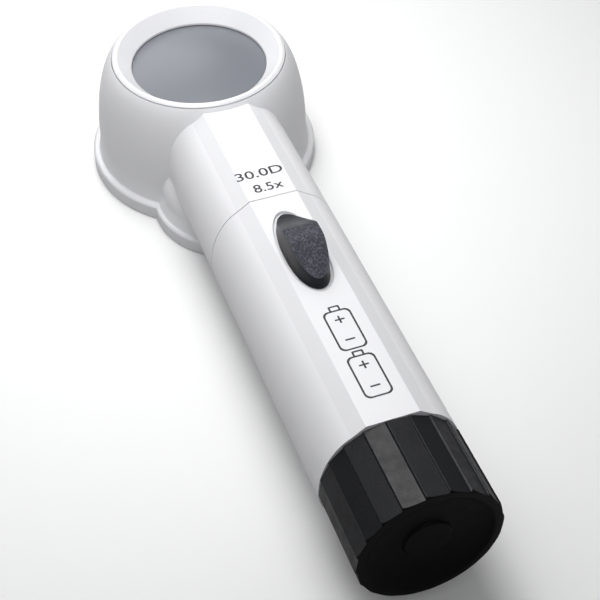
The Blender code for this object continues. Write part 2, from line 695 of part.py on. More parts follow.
def cell(name, tip_s, handle):
    """One dry cell: its can, its plastic seal and its raised terminal."""
    front = tip_s + 1.6 * MM
    rear = tip_s + CELL_LENGTH
    edge = 0.6 * MM
    can = [(0.0, front + 1.0 * MM), (11.6 * MM, front + 1.0 * MM), (11.8 * MM, front)]
    can += [(CELL_R - edge, front), (CELL_R, front + edge), (CELL_R, rear - 1 * MM)]
    can += [(CELL_R - edge, rear - 0.4 * MM), (8.0 * MM, rear), (0.0, rear)]
    revolve(name + "_can", can, nickel(), handle, SMALL, axis="X")
    seal_front = front + 0.1 * MM
    seal_rear = front + 0.7 * MM
    seal = [(4.4 * MM, seal_front), (11.2 * MM, seal_front), (11.2 * MM, seal_rear), (4.4 * MM, seal_rear)]
    revolve(name + "_seal", seal, black_plastic(), handle, SMALL, axis="X")
    nub = [(0.0, tip_s), (2.9 * MM, tip_s), (3.3 * MM, tip_s + 0.5 * MM), (3.3 * MM, front + 0.2 * MM)]
    nub += [(4.0 * MM, front + 0.3 * MM), (4.0 * MM, front + 0.7 * MM), (0.0, front + 0.7 * MM)]
    revolve(name + "_terminal", nub, nickel(), handle, SMALL, axis="X")


# ---------------------------------------------------------------- the spring in the cap

def battery_spring(plate):
    """Conical coil that presses the cells forward."""
    wire = 0.45 * MM
    turns = 3
    per_turn = 16
    front = 141.6 * MM
    rear = 147.0 * MM
    rings = []
    count = turns * per_turn
    for i in range(count + 1):
        t = i / count
        angle = math.tau * turns * t
        radius = (8.6 - 3.4 * (1 - t)) * MM
        centre = Vector((front + (rear - front) * t, radius * math.sin(angle), radius * math.cos(angle)))
        out = Vector((0.0, math.sin(angle), math.cos(angle)))
        ahead = Vector((1.0, 0.0, 0.0))
        ring = []
        for k in range(6):
            a = math.tau * k / 6
            ring.append(centre + (out * math.cos(a) + ahead * math.sin(a)) * wire)
        rings.append(ring)
    new_object("battery_spring", skin(rings), nickel(), plate)


def spring_plate(plate):
    """Plated cup in the cap: it holds the spring, and its rim meets the rear strip."""
    profile = [(0.0, 147.7 * MM), (16.2 * MM, 147.7 * MM), (16.2 * MM, 145.0 * MM), (16.7 * MM, 145.0 * MM)]
    profile += [(16.7 * MM, 148.15 * MM), (0.0, 148.15 * MM)]
    revolve("spring_plate", profile, nickel(), plate, SMALL, axis="X")


def spring_clip(plate):
    """Pressed disc over the spring's last turn, riveted to the plate."""
    profile = [(0.0, 146.7 * MM), (2.0 * MM, 146.7 * MM), (3.2 * MM, 147.0 * MM), (3.2 * MM, 147.4 * MM)]
    profile.append((0.0, 147.4 * MM))
    revolve("spring_clip", profile, brass(), plate, SMALL, axis="X")


# ---------------------------------------------------------------- assembly

def empty(name, parent=None, location=(0, 0, 0), rotation=(0, 0, 0)):
    frame = bpy.data.objects.new(name, None)
    bpy.context.scene.collection.objects.link(frame)
    frame.parent = parent
    frame.location = location
    frame.rotation_euler = rotation
    return frame


def main():
    for obj in list(bpy.data.objects):
        bpy.data.objects.remove(obj, do_unlink=True)

    head = empty("head_frame", location=(BELL_X, 0, 0))
    handle = empty("handle_frame", head, (NECK_X, 0, AXIS_Z), (0, -TILT, 0))
    switch = empty("switch_frame", handle)
    cap = empty("cap_frame", handle)
    plate = empty("plate_frame", handle)

    head_shell(head, handle)
    lens_bezel(head)
    lens(head)
    lens_gasket(head)

    handle_tube(handle)
    cap_seal(handle)
    end_cap(cap)

    switch_slider(switch)
    switch_contact(switch)
    switch_rivet(switch)
    contact_strips(handle)

    lamp_reflector(handle)
    lamp_holder(handle)
    lamp_socket(handle)
    lamp_centre_contact(handle)
    bulb(handle)

    cell("front_cell", CELL_FRONT_S, handle)
    cell("rear_cell", CELL_REAR_S, handle)

    battery_spring(plate)
    spring_plate(plate)
    spring_clip(plate)


main()
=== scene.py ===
# %% [markdown]
# # An illuminated stand magnifier
# The object is a white bell with a thick lens on top, a lamp chamber that bulges out under the neck,
# and a straight battery handle with a black thumb switch and a black screw cap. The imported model
# fixes where everything is and how it moves. This script makes the surfaces that are seen: each
# casing piece is modelled again with finer edges, in exactly the place that its solid holds.

# %% Load the frame
import json
import math

import bmesh
import bpy
from mathutils import Matrix, Vector


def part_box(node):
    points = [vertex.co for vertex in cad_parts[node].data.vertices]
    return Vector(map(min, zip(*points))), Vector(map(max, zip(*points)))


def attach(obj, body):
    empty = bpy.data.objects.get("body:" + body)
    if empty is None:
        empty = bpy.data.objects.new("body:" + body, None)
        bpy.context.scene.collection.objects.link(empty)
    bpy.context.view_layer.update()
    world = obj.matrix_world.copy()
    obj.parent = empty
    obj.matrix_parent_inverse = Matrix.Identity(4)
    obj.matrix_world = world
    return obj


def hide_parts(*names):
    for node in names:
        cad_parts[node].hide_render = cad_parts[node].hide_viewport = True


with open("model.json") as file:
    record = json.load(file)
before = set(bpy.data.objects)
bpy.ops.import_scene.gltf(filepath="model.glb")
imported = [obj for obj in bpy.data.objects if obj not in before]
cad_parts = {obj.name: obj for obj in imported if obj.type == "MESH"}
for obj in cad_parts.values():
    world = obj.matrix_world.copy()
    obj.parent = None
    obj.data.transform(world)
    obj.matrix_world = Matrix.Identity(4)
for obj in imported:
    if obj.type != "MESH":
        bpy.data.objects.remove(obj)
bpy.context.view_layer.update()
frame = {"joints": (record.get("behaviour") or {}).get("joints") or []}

# %% [markdown]
# ## Where things are
# All places come from the frame. The lens gives the bell's axis, and the end cap's joint gives the
# handle's axis, because the cap turns about it. Along the handle, a station is a distance from the
# handle's own origin, and the frame's boxes give the main ones.

# %% Measure the frame
MM = 0.001
joints = {joint["name"]: joint for joint in frame["joints"]}
along = Vector(joints["cap_turn"]["axis"]).normalized()
tilt = math.atan2(along.z, along.x)

lens_low, lens_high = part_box("lens")
shell_low, shell_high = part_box("head_shell")
bell_x = (lens_low.x + lens_high.x) / 2
foot_r = shell_high.y
crest_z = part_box("lens_bezel")[1].z / MM

CAP_S = 128.6  # station of the cap's seam, in millimetres, as all sizes below are
handle_origin = Vector(joints["cap_turn"]["pos_m"]) - along * (CAP_S * MM)
handle_place = Matrix.Translation(handle_origin) @ Matrix.Rotation(-tilt, 4, "Y")
bell_place = Matrix.Translation((bell_x, 0, 0))
print(f"bell axis x {bell_x / MM:.1f} mm, foot radius {foot_r / MM:.1f} mm, crest {crest_z:.1f} mm high")
print(f"handle tilt {math.degrees(tilt):.2f} degrees, origin", tuple(round(c / MM, 2) for c in handle_origin))

# %% [markdown]
# ## Camera
# The magnifier stands on a white sweep and is seen from above and beyond its end cap. From about
# 0.4 m the handle tapers strongly towards the bell, so both the distance and the focal length count.
# A camera could be moved by hand, but placing it by two angles and a distance keeps it repeatable.

# %% Camera
def look_from(target, azimuth, elevation, distance, roll):
    """Places the camera round a target: azimuth 0 looks along +Y, 90 along -X."""
    a, e = math.radians(azimuth), math.radians(elevation)
    back = Vector((math.sin(a) * math.cos(e), -math.cos(a) * math.cos(e), math.sin(e)))
    right = Vector((0, 0, 1)).cross(back).normalized()
    up = back.cross(right)
    turn = Matrix((right, up, back)).transposed().to_4x4() @ Matrix.Rotation(math.radians(roll), 4, "Z")
    return Matrix.Translation(target + back * distance) @ turn


CAMERA_AIM = Vector((78.45, 4.47, 3.98)) * MM
CAMERA_AZIMUTH, CAMERA_ELEVATION, CAMERA_ROLL = 70.09, 46.48, -0.28
CAMERA_REACH = 0.40657
FOCAL_LENGTH = 83.98

camera_data = bpy.data.cameras.new("camera")
camera_data.lens = FOCAL_LENGTH
camera_data.sensor_width = 36.0
camera_data.clip_start = 0.01
camera = bpy.data.objects.new("camera", camera_data)
bpy.context.scene.collection.objects.link(camera)
camera.matrix_world = look_from(Vector((bell_x, 0, 0)) + CAMERA_AIM, CAMERA_AZIMUTH, CAMERA_ELEVATION,
                                CAMERA_REACH, CAMERA_ROLL)
bpy.context.scene.camera = camera
print("camera at", tuple(round(c, 4) for c in camera.matrix_world.translation))

# %% [markdown]
# ## Lights
# White plastic needs soft light, or its round shapes turn flat. Round area lights are soft and their
# reflections look like a studio's. One stands over the bell, one by the shoulder, one behind and a
# large weak one in front. They are near, so the handle darkens a little towards the cap.

# %% Lights
def area_light(name, place, aim, size, power):
    data = bpy.data.lights.new(name, "AREA")
    data.shape = "DISK"
    data.size = size
    data.energy = power
    light = bpy.data.objects.new(name, data)
    bpy.context.scene.collection.objects.link(light)
    light.location = place
    light.rotation_euler = (Vector(aim) - Vector(place)).to_track_quat("-Z", "Y").to_euler()
    return light


bell_middle = Vector((bell_x, 0, 0.03))
for name, toward, reach, size, power in (("crest_light", (0, 0, 1), 0.27, 0.2, 0.52),
                                         ("shoulder_light", (0.25, -0.3, 0.85), 0.25, 0.2, 0.16),
                                         ("back_light", (-0.8, 0, 0.6), 0.35, 0.22, 0.43),
                                         ("front_fill", (0.75, 0.1, 0.65), 0.8, 0.5, 0.36)):
    area_light(name, bell_middle + Vector(toward).normalized() * reach, bell_middle, size, power)

world = bpy.data.worlds.new("studio")
world.use_nodes = True
world.node_tree.nodes["Background"].inputs["Color"].default_value = (0.98, 0.99, 1.0, 1)
world.node_tree.nodes["Background"].inputs["Strength"].default_value = 0.25
bpy.context.scene.world = world
bpy.context.scene.view_settings.view_transform = "Standard"

# %% [markdown]
# ## Floor
# A floor that looks white would also throw much light up at the walls of the bell. So there are two
# planes: a white one that only the camera sees, and a greyer one just under it that the light meets.

# %% Floor
FLOOR_SIZE = 20.0


def floor_plane(name, depth, albedo):
    bpy.ops.object.select_all(action="DESELECT")
    bpy.ops.mesh.primitive_plane_add(size=FLOOR_SIZE, location=(0, 0, -depth))
    plane = bpy.context.object
    plane.name = name
    paint = bpy.data.materials.new(name + "_paint")
    paint.use_nodes = True
    shader = paint.node_tree.nodes["Principled BSDF"]
    shader.inputs["Base Color"].default_value = (albedo, albedo, albedo, 1)
    shader.inputs["Roughness"].default_value = 0.8
    plane.data.materials.append(paint)
    return plane


floor = floor_plane("floor", 0.0002, 0.96)
floor.visible_diffuse = floor.visible_glossy = floor.visible_transmission = floor.visible_shadow = False
floor_plane("bounce", 0.0006, 0.5)
print("floor:", FLOOR_SIZE, "m wide")

# %% [markdown]
# ## Modelling helpers
# Most of the pieces are turned or extruded. A turned piece starts as one vertex, which is extruded
# from point to point to draw half a section and then spun round the axis. A straight piece starts in
# the same way, is filled, and the face is extruded along the handle. Holes are cut with Booleans that
# are applied at once, so that each finished piece is plain geometry.

# %% Draw a section
def draw(name, points, closed):
    """Draws a chain of edges through 3-D points by extruding one vertex, and stays in edit mode."""
    bpy.ops.object.select_all(action="DESELECT")
    bpy.ops.mesh.primitive_plane_add(size=0.001, location=(0, 0, 0))
    piece = bpy.context.object
    piece.name = name
    piece.data.name = name
    bpy.ops.object.mode_set(mode="EDIT")
    bpy.ops.mesh.merge(type="CENTER")
    bpy.ops.transform.translate(value=points[0])
    for here, there in zip(points, points[1:]):
        step = Vector(there) - Vector(here)
        bpy.ops.mesh.extrude_region_move(TRANSFORM_OT_translate={"value": step})
    if closed:
        mesh = bmesh.from_edit_mesh(piece.data)
        mesh.verts.ensure_lookup_table()
        ends = [v for v in mesh.verts if len(v.link_edges) == 1]
        for v in mesh.verts:
            v.select = v in ends
        mesh.select_flush_mode()
        bmesh.update_edit_mesh(piece.data)
        bpy.ops.mesh.edge_face_add()
    return piece


def leave_edit(piece):
    """Merges doubles, turns the faces outwards and goes back to object mode."""
    bpy.ops.mesh.select_all(action="SELECT")
    bpy.ops.mesh.remove_doubles(threshold=2e-7)
    bpy.ops.mesh.normals_make_consistent(inside=False)
    bpy.ops.object.mode_set(mode="OBJECT")
    return piece


def turned(name, profile, steps, axis="Z"):
    """Spins a profile of (radius, height) points, in millimetres, round Z or round the handle's X."""
    if axis == "Z":
        points = [(r * MM, 0, h * MM) for r, h in profile]
        spin_axis = (0, 0, 1)
    else:
        points = [(h * MM, 0, r * MM) for r, h in profile]
        spin_axis = (1, 0, 0)
    solid = profile[0][0] == 0 and profile[-1][0] == 0
    piece = draw(name, points, closed=not solid)
    bpy.ops.mesh.select_all(action="SELECT")
    bpy.ops.mesh.spin(steps=steps, angle=math.tau, center=(0, 0, 0), axis=spin_axis)
    return leave_edit(piece)


def extruded(name, points, move):
    """Draws a closed outline, fills it and extrudes the face, all in metres."""
    piece = draw(name, points, closed=True)
    bpy.ops.mesh.select_all(action="SELECT")
    bpy.ops.mesh.edge_face_add()
    bpy.ops.mesh.extrude_region_move(TRANSFORM_OT_translate={"value": move})
    return leave_edit(piece)


def bar(name, outline, start, end):
    """Extrudes an outline of (y, z) points along the handle, in millimetres."""
    points = [(start * MM, y * MM, z * MM) for y, z in outline]
    return extruded(name, points, ((end - start) * MM, 0, 0))


def plate(name, outline, low, high):
    """Extrudes an outline of (x, y) points upwards, in millimetres."""
    points = [(x * MM, y * MM, low * MM) for x, y in outline]
    return extruded(name, points, (0, 0, (high - low) * MM))


def select_where(piece, test):
    """Opens a piece in edit mode with only the vertices selected that pass a test on their place."""
    only(piece)
    bpy.ops.object.mode_set(mode="EDIT")
    bpy.ops.mesh.select_all(action="DESELECT")
    mesh = bmesh.from_edit_mesh(piece.data)
    for vertex in mesh.verts:
        vertex.select = test(vertex.co)
    mesh.select_flush_mode()
    bmesh.update_edit_mesh(piece.data)

# %% [markdown]
# ## Joining and finishing
# A modifier could stay live, but a Boolean that is applied at once leaves plain geometry, and the
# next step can count on it. Each finished piece gets its material and the body that it rides on, and the
# solids that it stands for are hidden.

# %% Join, cut and finish
def only(piece):
    """Makes one piece the selected and active one."""
    bpy.ops.object.select_all(action="DESELECT")
    piece.select_set(True)
    bpy.context.view_layer.objects.active = piece


def settle(piece, place):
    """Moves a piece to its place and writes the place into its mesh."""
    piece.matrix_world = place
    only(piece)
    bpy.ops.object.transform_apply(location=True, rotation=True, scale=True)
    return piece


def combine(piece, tool, operation):
    """Applies a Boolean and removes its tool."""
    only(piece)
    modifier = piece.modifiers.new("combine", "BOOLEAN")
    modifier.operation = operation
    modifier.solver = "EXACT"
    modifier.object = tool
    bpy.ops.object.modifier_apply(modifier=modifier.name)
    bpy.data.objects.remove(tool)
    return piece


def smooth(piece, angle=28.0):
    """Shades smooth across soft angles, and lets the large faces keep their own direction."""
    only(piece)
    bpy.ops.object.shade_smooth_by_angle(angle=math.radians(angle))
    modifier = piece.modifiers.new("even_normals", "WEIGHTED_NORMAL")
    modifier.keep_sharp = True
    modifier.weight = 80
    bpy.ops.object.modifier_apply(modifier=modifier.name)
    return piece


def finish_piece(piece, body, slot, material, *nodes):
    """Gives a piece its material and body, and hides the solids that it stands for."""
    piece.data.materials.clear()
    piece.data.materials.append(material)
    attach(piece, body)
    if nodes:
        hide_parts(*nodes)
    print(f"{piece.name}: {len(piece.data.polygons)} faces on {body}")
    return piece

# %% [markdown]
# ## Curves as points
# Moulded plastic has no dead sharp edges. Some edges are bevelled on the mesh, but in a section it is
# simpler to round the corner while it is still a list of points.

# %% Curves as points
def arc(cx, cy, rx, ry, start, end, steps):
    """Points along an elliptical arc, in degrees, both ends included."""
    angles = [math.radians(start + (end - start) * i / steps) for i in range(steps + 1)]
    return [(cx + rx * math.cos(a), cy + ry * math.sin(a)) for a in angles]


def rounded(points, radii, steps=4):
    """Replaces the corners of a closed outline by arcs. A radius of 0 keeps the corner."""
    result = []
    for i, (point, radius) in enumerate(zip(points, radii)):
        corner = Vector(point)
        before = (Vector(points[i - 1]) - corner).normalized()
        after = (Vector(points[(i + 1) % len(points)]) - corner).normalized()
        if radius == 0 or abs(before.dot(after) + 1) < 1e-6:
            result.append(tuple(corner))
            continue
        half = before.angle(after) / 2
        reach = radius / math.tan(half)
        centre = corner + (before + after).normalized() * radius / math.sin(half)
        first = corner + before * reach - centre
        last = corner + after * reach - centre
        for k in range(steps + 1):
            spoke = first.lerp(last, k / steps)
            result.append(tuple(centre + spoke.normalized() * radius))
    return result

# %% [markdown]
# ## Finishes
# Real surfaces are never quite even, so each finish is a small node tree with a little noise in its
# colour, gloss and relief. It reads Object coordinates, so that it stays put on the piece, and each
# value that is the same all over is set on the shader itself. The helpers below make these trees.

# %% A start for each finish
def new_finish(name, color, roughness, metallic=0.0):
    """Makes a material with its shader set, and returns it with its nodes, links and coordinates."""
    material = bpy.data.materials.new(name)
    material.use_nodes = True
    nodes = material.node_tree.nodes
    links = material.node_tree.links
    shader = nodes["Principled BSDF"]
    shader.inputs["Base Color"].default_value = (*color, 1)
    shader.inputs["Roughness"].default_value = roughness
    shader.inputs["Metallic"].default_value = metallic
    coordinates = nodes.new("ShaderNodeTexCoord")
    return material, nodes, links, shader, coordinates.outputs["Object"]


def noise(nodes, links, coordinates, scale, detail=3.0):
    """Adds a noise texture. Scale counts its cells per metre."""
    texture = nodes.new("ShaderNodeTexNoise")
    texture.inputs["Scale"].default_value = scale
    texture.inputs["Detail"].default_value = detail
    links.new(coordinates, texture.inputs["Vector"])
    return texture.outputs["Fac"]


def spread(nodes, links, value, low, high, start=0.3, end=0.7):
    """Stretches a value to a range of its own."""
    ramp = nodes.new("ShaderNodeMapRange")
    ramp.inputs["From Min"].default_value = start
    ramp.inputs["From Max"].default_value = end
    ramp.inputs["To Min"].default_value = low
    ramp.inputs["To Max"].default_value = high
    links.new(value, ramp.inputs["Value"])
    return ramp.outputs["Result"]


def tint(nodes, links, value, first, second):
    """Blends two colours by a value."""
    mix = nodes.new("ShaderNodeMix")
    mix.data_type = "RGBA"
    mix.inputs["A"].default_value = (*first, 1)
    mix.inputs["B"].default_value = (*second, 1)
    links.new(value, mix.inputs["Factor"])
    return mix.outputs["Result"]


def relief(nodes, links, value, depth, strength, normal=None):
    """Adds a bump of a depth in metres, on top of another if one is given."""
    bump = nodes.new("ShaderNodeBump")
    bump.inputs["Strength"].default_value = strength
    bump.inputs["Distance"].default_value = depth
    links.new(value, bump.inputs["Height"])
    if normal is not None:
        links.new(normal, bump.inputs["Normal"])
    return bump.outputs["Normal"]

# %% [markdown]
# ## White plastic
# The casing is polished white plastic. It is almost even, so colour and gloss vary only a little and
# a fine, weak relief breaks up the reflections.

# %% White moulding
def make_white_moulding():
    material, nodes, links, shader, place = new_finish("white_moulding", (0.83, 0.83, 0.85), 0.3)
    shader.inputs["IOR"].default_value = 1.5
    cloud = spread(nodes, links, noise(nodes, links, place, 45), 0, 1)
    links.new(tint(nodes, links, cloud, (0.822, 0.822, 0.843), (0.832, 0.832, 0.851)),
              shader.inputs["Base Color"])
    links.new(spread(nodes, links, noise(nodes, links, place, 160, 4), 0.29, 0.31),
              shader.inputs["Roughness"])
    links.new(relief(nodes, links, noise(nodes, links, place, 2600), 0.000003, 0.2), shader.inputs["Normal"])
    return material


white_moulding = make_white_moulding()
print("made", white_moulding.name)

# %% [markdown]
# ## Black plastic and rubber
# The cap, the switch and the seal are black, but not alike: the switch's pad has a coarse grain with
# pale flecks, the cap's grip a fine one, and the dish in the cap is nearly dull. One function with a
# few values makes them all.

# %% Black moulding, smooth and grained
def make_black_moulding(name, color, roughness, cells, depth, strength, fleck, gloss=0.3):
    """Black plastic with a spark-eroded grain: cells per metre, depth in metres."""
    material, nodes, links, shader, place = new_finish(name, color, sum(roughness) / 2)
    shader.inputs["IOR"].default_value = 1.5
    shader.inputs["Specular IOR Level"].default_value = gloss
    fine = noise(nodes, links, place, cells, 2)
    coarse = noise(nodes, links, place, cells / 9, 3)
    links.new(spread(nodes, links, coarse, *roughness), shader.inputs["Roughness"])
    links.new(tint(nodes, links, spread(nodes, links, fine, 0, 1, 0.45, 0.75), color, fleck),
              shader.inputs["Base Color"])
    links.new(relief(nodes, links, fine, depth, strength), shader.inputs["Normal"])
    return material


grip_black = make_black_moulding("grip_black", (0.004, 0.0045, 0.006), (0.36, 0.5), 3200, 0.00008, 0.55,
                                 (0.012, 0.012, 0.016))
smooth_black = make_black_moulding("smooth_black", (0.006, 0.007, 0.012), (0.33, 0.42), 2400, 0.00002, 0.25,
                                   (0.009, 0.01, 0.015), 0.24)
pad_black = make_black_moulding("pad_black", (0.02, 0.022, 0.034), (0.4, 0.52), 1700, 0.00016, 0.9,
                                (0.11, 0.11, 0.14))
dish_black = make_black_moulding("dish_black", (0.002, 0.002, 0.003), (0.42, 0.5), 2400, 0.00002, 0.25,
                                 (0.003, 0.003, 0.004), 0.1)
rubber_black = make_black_moulding("rubber_black", (0.018, 0.018, 0.018), (0.7, 0.85), 1800, 0.00004, 0.4,
                                   (0.03, 0.03, 0.03))
print("made", grip_black.name, smooth_black.name, pad_black.name, dish_black.name, rubber_black.name)

# %% [markdown]
# ## Lamp plug, lens and ink
# The plug of the lamp is unpainted cream plastic. The lens is clear glass over a shaded hollow, and that
# shade is painted into the glass as a grey colour over most of it, so it is only partly clear. It is rough,
# with a low gloss. Ink is a flat black.

# %% Cream moulding, glass and printing ink
def make_cream_moulding():
    material, nodes, links, shader, place = new_finish("cream_moulding", (0.72, 0.69, 0.6), 0.5)
    cloud = spread(nodes, links, noise(nodes, links, place, 300), 0, 1)
    links.new(tint(nodes, links, cloud, (0.68, 0.65, 0.56), (0.74, 0.71, 0.63)), shader.inputs["Base Color"])
    links.new(relief(nodes, links, noise(nodes, links, place, 2200), 0.00002, 0.4), shader.inputs["Normal"])
    return material


def make_lens_glass():
    """Glass with painted shade: a grey colour for the shaded hollow under the lens, so it is only partly
    clear, with a slightly uneven gloss.
    """
    # The grey base colour is painted shade, the shade of the hollow under the lens.
    material, nodes, links, shader, place = new_finish("glass_with_painted_shade", (0.28, 0.295, 0.33), 0.35)
    shader.inputs["IOR"].default_value = 1.52
    shader.inputs["Transmission Weight"].default_value = 0.35
    shader.inputs["Specular IOR Level"].default_value = 0.15
    film = spread(nodes, links, noise(nodes, links, place, 90), 0.33, 0.36)
    links.new(film, shader.inputs["Roughness"])
    return material


def make_ink():
    material, nodes, links, shader, place = new_finish("printing_ink", (0.01, 0.01, 0.012), 0.45)
    cover = spread(nodes, links, noise(nodes, links, place, 1500), 0, 1)
    links.new(tint(nodes, links, cover, (0.008, 0.008, 0.01), (0.016, 0.016, 0.018)),
              shader.inputs["Base Color"])
    links.new(relief(nodes, links, cover, 0.000004, 0.4), shader.inputs["Normal"])
    return material


cream_moulding = make_cream_moulding()
glass_with_painted_shade = make_lens_glass()
printing_ink = make_ink()
print("made", cream_moulding.name, glass_with_painted_shade.name, printing_ink.name)

# %% [markdown]
# ## Metals
# Sheet brass, nickel plate and the mirror of the reflector differ in tone and gloss only, so they
# share one function as well.

# %% Metals
def make_metal(name, dark, light, roughness, cells):
    """Metal whose tone and gloss vary in patches, with fine marks of the press on it."""
    material, nodes, links, shader, place = new_finish(name, light, sum(roughness) / 2, 1.0)
    patches = noise(nodes, links, place, cells, 4)
    links.new(tint(nodes, links, spread(nodes, links, patches, 0, 1), dark, light),
              shader.inputs["Base Color"])
    links.new(spread(nodes, links, patches, *roughness), shader.inputs["Roughness"])
    links.new(relief(nodes, links, noise(nodes, links, place, cells * 9), 0.00001, 0.25),
              shader.inputs["Normal"])
    return material


sheet_brass = make_metal("sheet_brass", (0.6, 0.42, 0.15), (0.74, 0.56, 0.25), (0.24, 0.4), 350)
nickel_plate = make_metal("nickel_plate", (0.5, 0.48, 0.45), (0.66, 0.64, 0.61), (0.18, 0.32), 420)
mirror_plate = make_metal("mirror_plate", (0.84, 0.84, 0.85), (0.93, 0.93, 0.93), (0.04, 0.1), 300)
filament_metal = make_metal("filament_metal", (0.3, 0.3, 0.3), (0.45, 0.45, 0.44), (0.35, 0.5), 3000)
print("made", sheet_brass.name, nickel_plate.name, mirror_plate.name, filament_metal.name)

# %% [markdown]
# ## Sleeve of the cells
# A dry cell has a dark sleeve with a coppery band at its front. Both cells lie on one line, so the
# band can be a pattern along the handle that repeats with the cell's length, which needs no UV map.

# %% Printed sleeve of the cells
CELL_FRONT_S = 41.5
CELL_PITCH = 49.8
BAND = 15.0


def make_cell_sleeve():
    """Dark sleeve with a copper band at the front of each cell. The bands repeat along the handle."""
    material, nodes, links, shader, place = new_finish("cell_sleeve", (0.05, 0.055, 0.07), 0.3, 0.6)
    station = nodes.new("ShaderNodeVectorMath")
    station.operation = "DOT_PRODUCT"
    station.inputs[1].default_value = along
    links.new(place, station.inputs[0])
    shifted = nodes.new("ShaderNodeMath")
    shifted.operation = "SUBTRACT"
    shifted.inputs[1].default_value = handle_origin.dot(along) + CELL_FRONT_S * MM
    links.new(station.outputs["Value"], shifted.inputs[0])
    wrapped = nodes.new("ShaderNodeMath")
    wrapped.operation = "MODULO"
    wrapped.inputs[1].default_value = CELL_PITCH * MM
    links.new(shifted.outputs[0], wrapped.inputs[0])
    band = spread(nodes, links, wrapped.outputs[0], 1.0, 0.0, (BAND - 0.2) * MM, BAND * MM)
    links.new(tint(nodes, links, band, (0.05, 0.055, 0.07), (0.6, 0.3, 0.13)), shader.inputs["Base Color"])
    links.new(spread(nodes, links, noise(nodes, links, place, 250), 0.24, 0.4), shader.inputs["Roughness"])
    return material


cell_sleeve = make_cell_sleeve()
print("made", cell_sleeve.name)

# %% [markdown]
# ## Finishes on the solids that stay
# The hidden metal and plastic pieces already have their real shapes, so their solids are kept and
# only get a finish.

# %% Dress the kept solids
kept = {
    "lens_gasket": rubber_black, "lamp_holder": cream_moulding, "lamp_socket": nickel_plate,
    "lamp_centre_contact": sheet_brass, "bulb_insulator": smooth_black, "bulb_tip": nickel_plate,
    "front_contact_strip": sheet_brass, "rear_contact_strip": sheet_brass,
    "front_cell_can": cell_sleeve, "front_cell_seal": smooth_black, "front_cell_terminal": nickel_plate,
    "rear_cell_can": cell_sleeve, "rear_cell_seal": smooth_black, "rear_cell_terminal": nickel_plate,
    "switch_contact": sheet_brass, "switch_rivet": nickel_plate,
    "spring_plate": nickel_plate, "spring_clip": sheet_brass,
}
for node, material in kept.items():
    solid = bpy.data.objects[node]
    for slot in solid.material_slots:
        slot.material = material
print("dressed", len(kept), "solids")

# %% [markdown]
# ## The bell and the neck
# On the real object the bell, its foot, the lamp chamber and the neck are one moulding. Its outside
# is a turned shape, so one profile is spun. The neck is a straight bar with the handle's section and
# the lamp chamber is a second, smaller turned shape. The three are joined and then hollowed out, as
# the mould's core would do, so that the wall stays even.

# %% The bell's profile
FOOT_R = foot_r / MM
FOOT_H = 4.8
WALL_R = 33.6
DRAFT = math.radians(5.2)
SHOULDER_Z = 10.7
SHOULDER_W = 9.2
SHOULDER_TOP = 40.0
SPLIT_ANGLE = 72.8
GAP = 0.3
wall_top_r = WALL_R - (SHOULDER_Z - FOOT_H) * math.tan(DRAFT)
shoulder_r = wall_top_r - SHOULDER_W
seam_r = shoulder_r + SHOULDER_W * math.cos(math.radians(SPLIT_ANGLE))
seam_z = SHOULDER_Z + (SHOULDER_TOP - SHOULDER_Z) * math.sin(math.radians(SPLIT_ANGLE))


def shoulder(inset, start, end, steps):
    """The bell's shoulder, a quarter of an ellipse from the wall to the crest."""
    rise = SHOULDER_TOP - SHOULDER_Z
    return arc(shoulder_r, SHOULDER_Z, SHOULDER_W - inset, rise - inset, start, end, steps)


def foot(radius, top, wall_r):
    """A foot with a rounded lip and a small fillet where the wall stands on it."""
    lip, sole, fillet = 0.9, 0.3, 0.5
    edge = arc(radius - sole, sole, sole, sole, -90, 0, 3)
    edge += arc(radius - lip, top - lip, lip, lip, 0, 90, 7)
    edge += arc(wall_r + fillet, top + fillet, fillet, fillet, -90, -180, 5)
    return edge


print(f"shoulder centre {shoulder_r:.2f} mm, seam radius {seam_r:.2f} mm")

# %% [markdown]
# ## The section of the neck and the handle
# Neck and handle share one section: a flat on top, a narrow bevel on each side of it, and round
# sides. The sides start a little flatter than the bevel ends, so each bevel shows as a band.

# %% The handle's section
FLAT_Z = 18.7
FLAT_W = 6.9
BEVEL_Z = 16.1
SIDE_Y = 18.95
SIDE_Z = -1.3
SIDE_RY = 12.35
SIDE_RZ = 18.39
BOTTOM_Z = -18.2


def handle_section():
    """The section's outline as (y, z) points."""
    side_start = math.degrees(math.asin((BEVEL_Z - SIDE_Z) / SIDE_RZ))
    side = arc(SIDE_Y - SIDE_RY, SIDE_Z, SIDE_RY, SIDE_RZ, side_start, 0, 24)
    under = arc(0, SIDE_Z, SIDE_Y, SIDE_Z - BOTTOM_Z, 0, -90, 28)[1:]
    half = [(FLAT_W, FLAT_Z)] + side + under
    outline = half + [(-y, z) for y, z in reversed(half[:-1])]
    radii = [0.0] * len(outline)
    radii[0] = radii[-1] = 0.45
    radii[1] = radii[-2] = 0.1
    return rounded(outline, radii, 4)


def round_end(piece, station, size):
    """Rounds the edges that lie in one plane across the handle."""
    only(piece)
    bpy.ops.object.mode_set(mode="EDIT")
    bpy.ops.mesh.select_all(action="DESELECT")
    mesh = bmesh.from_edit_mesh(piece.data)
    for edge in mesh.edges:
        edge.select = all(abs(v.co.x - station * MM) < 1e-7 for v in edge.verts)
    bmesh.update_edit_mesh(piece.data)
    bpy.ops.mesh.bevel(offset=size * MM, segments=2, affect="EDGES")
    bpy.ops.object.mode_set(mode="OBJECT")


section = handle_section()
print("handle section:", len(section), "points")

# %% [markdown]
# ## Three shapes in one
# Bell, neck and lamp chamber are joined with Booleans, as solids, before anything is hollow. Joining
# shells would leave their walls inside each other.

# %% Join the bell, the neck and the lamp chamber
JOINT_S = 42.9
POD_X = 28.0
POD_FOOT_R = 24.1
POD_R = 22.6
POD_TOP = 18.5


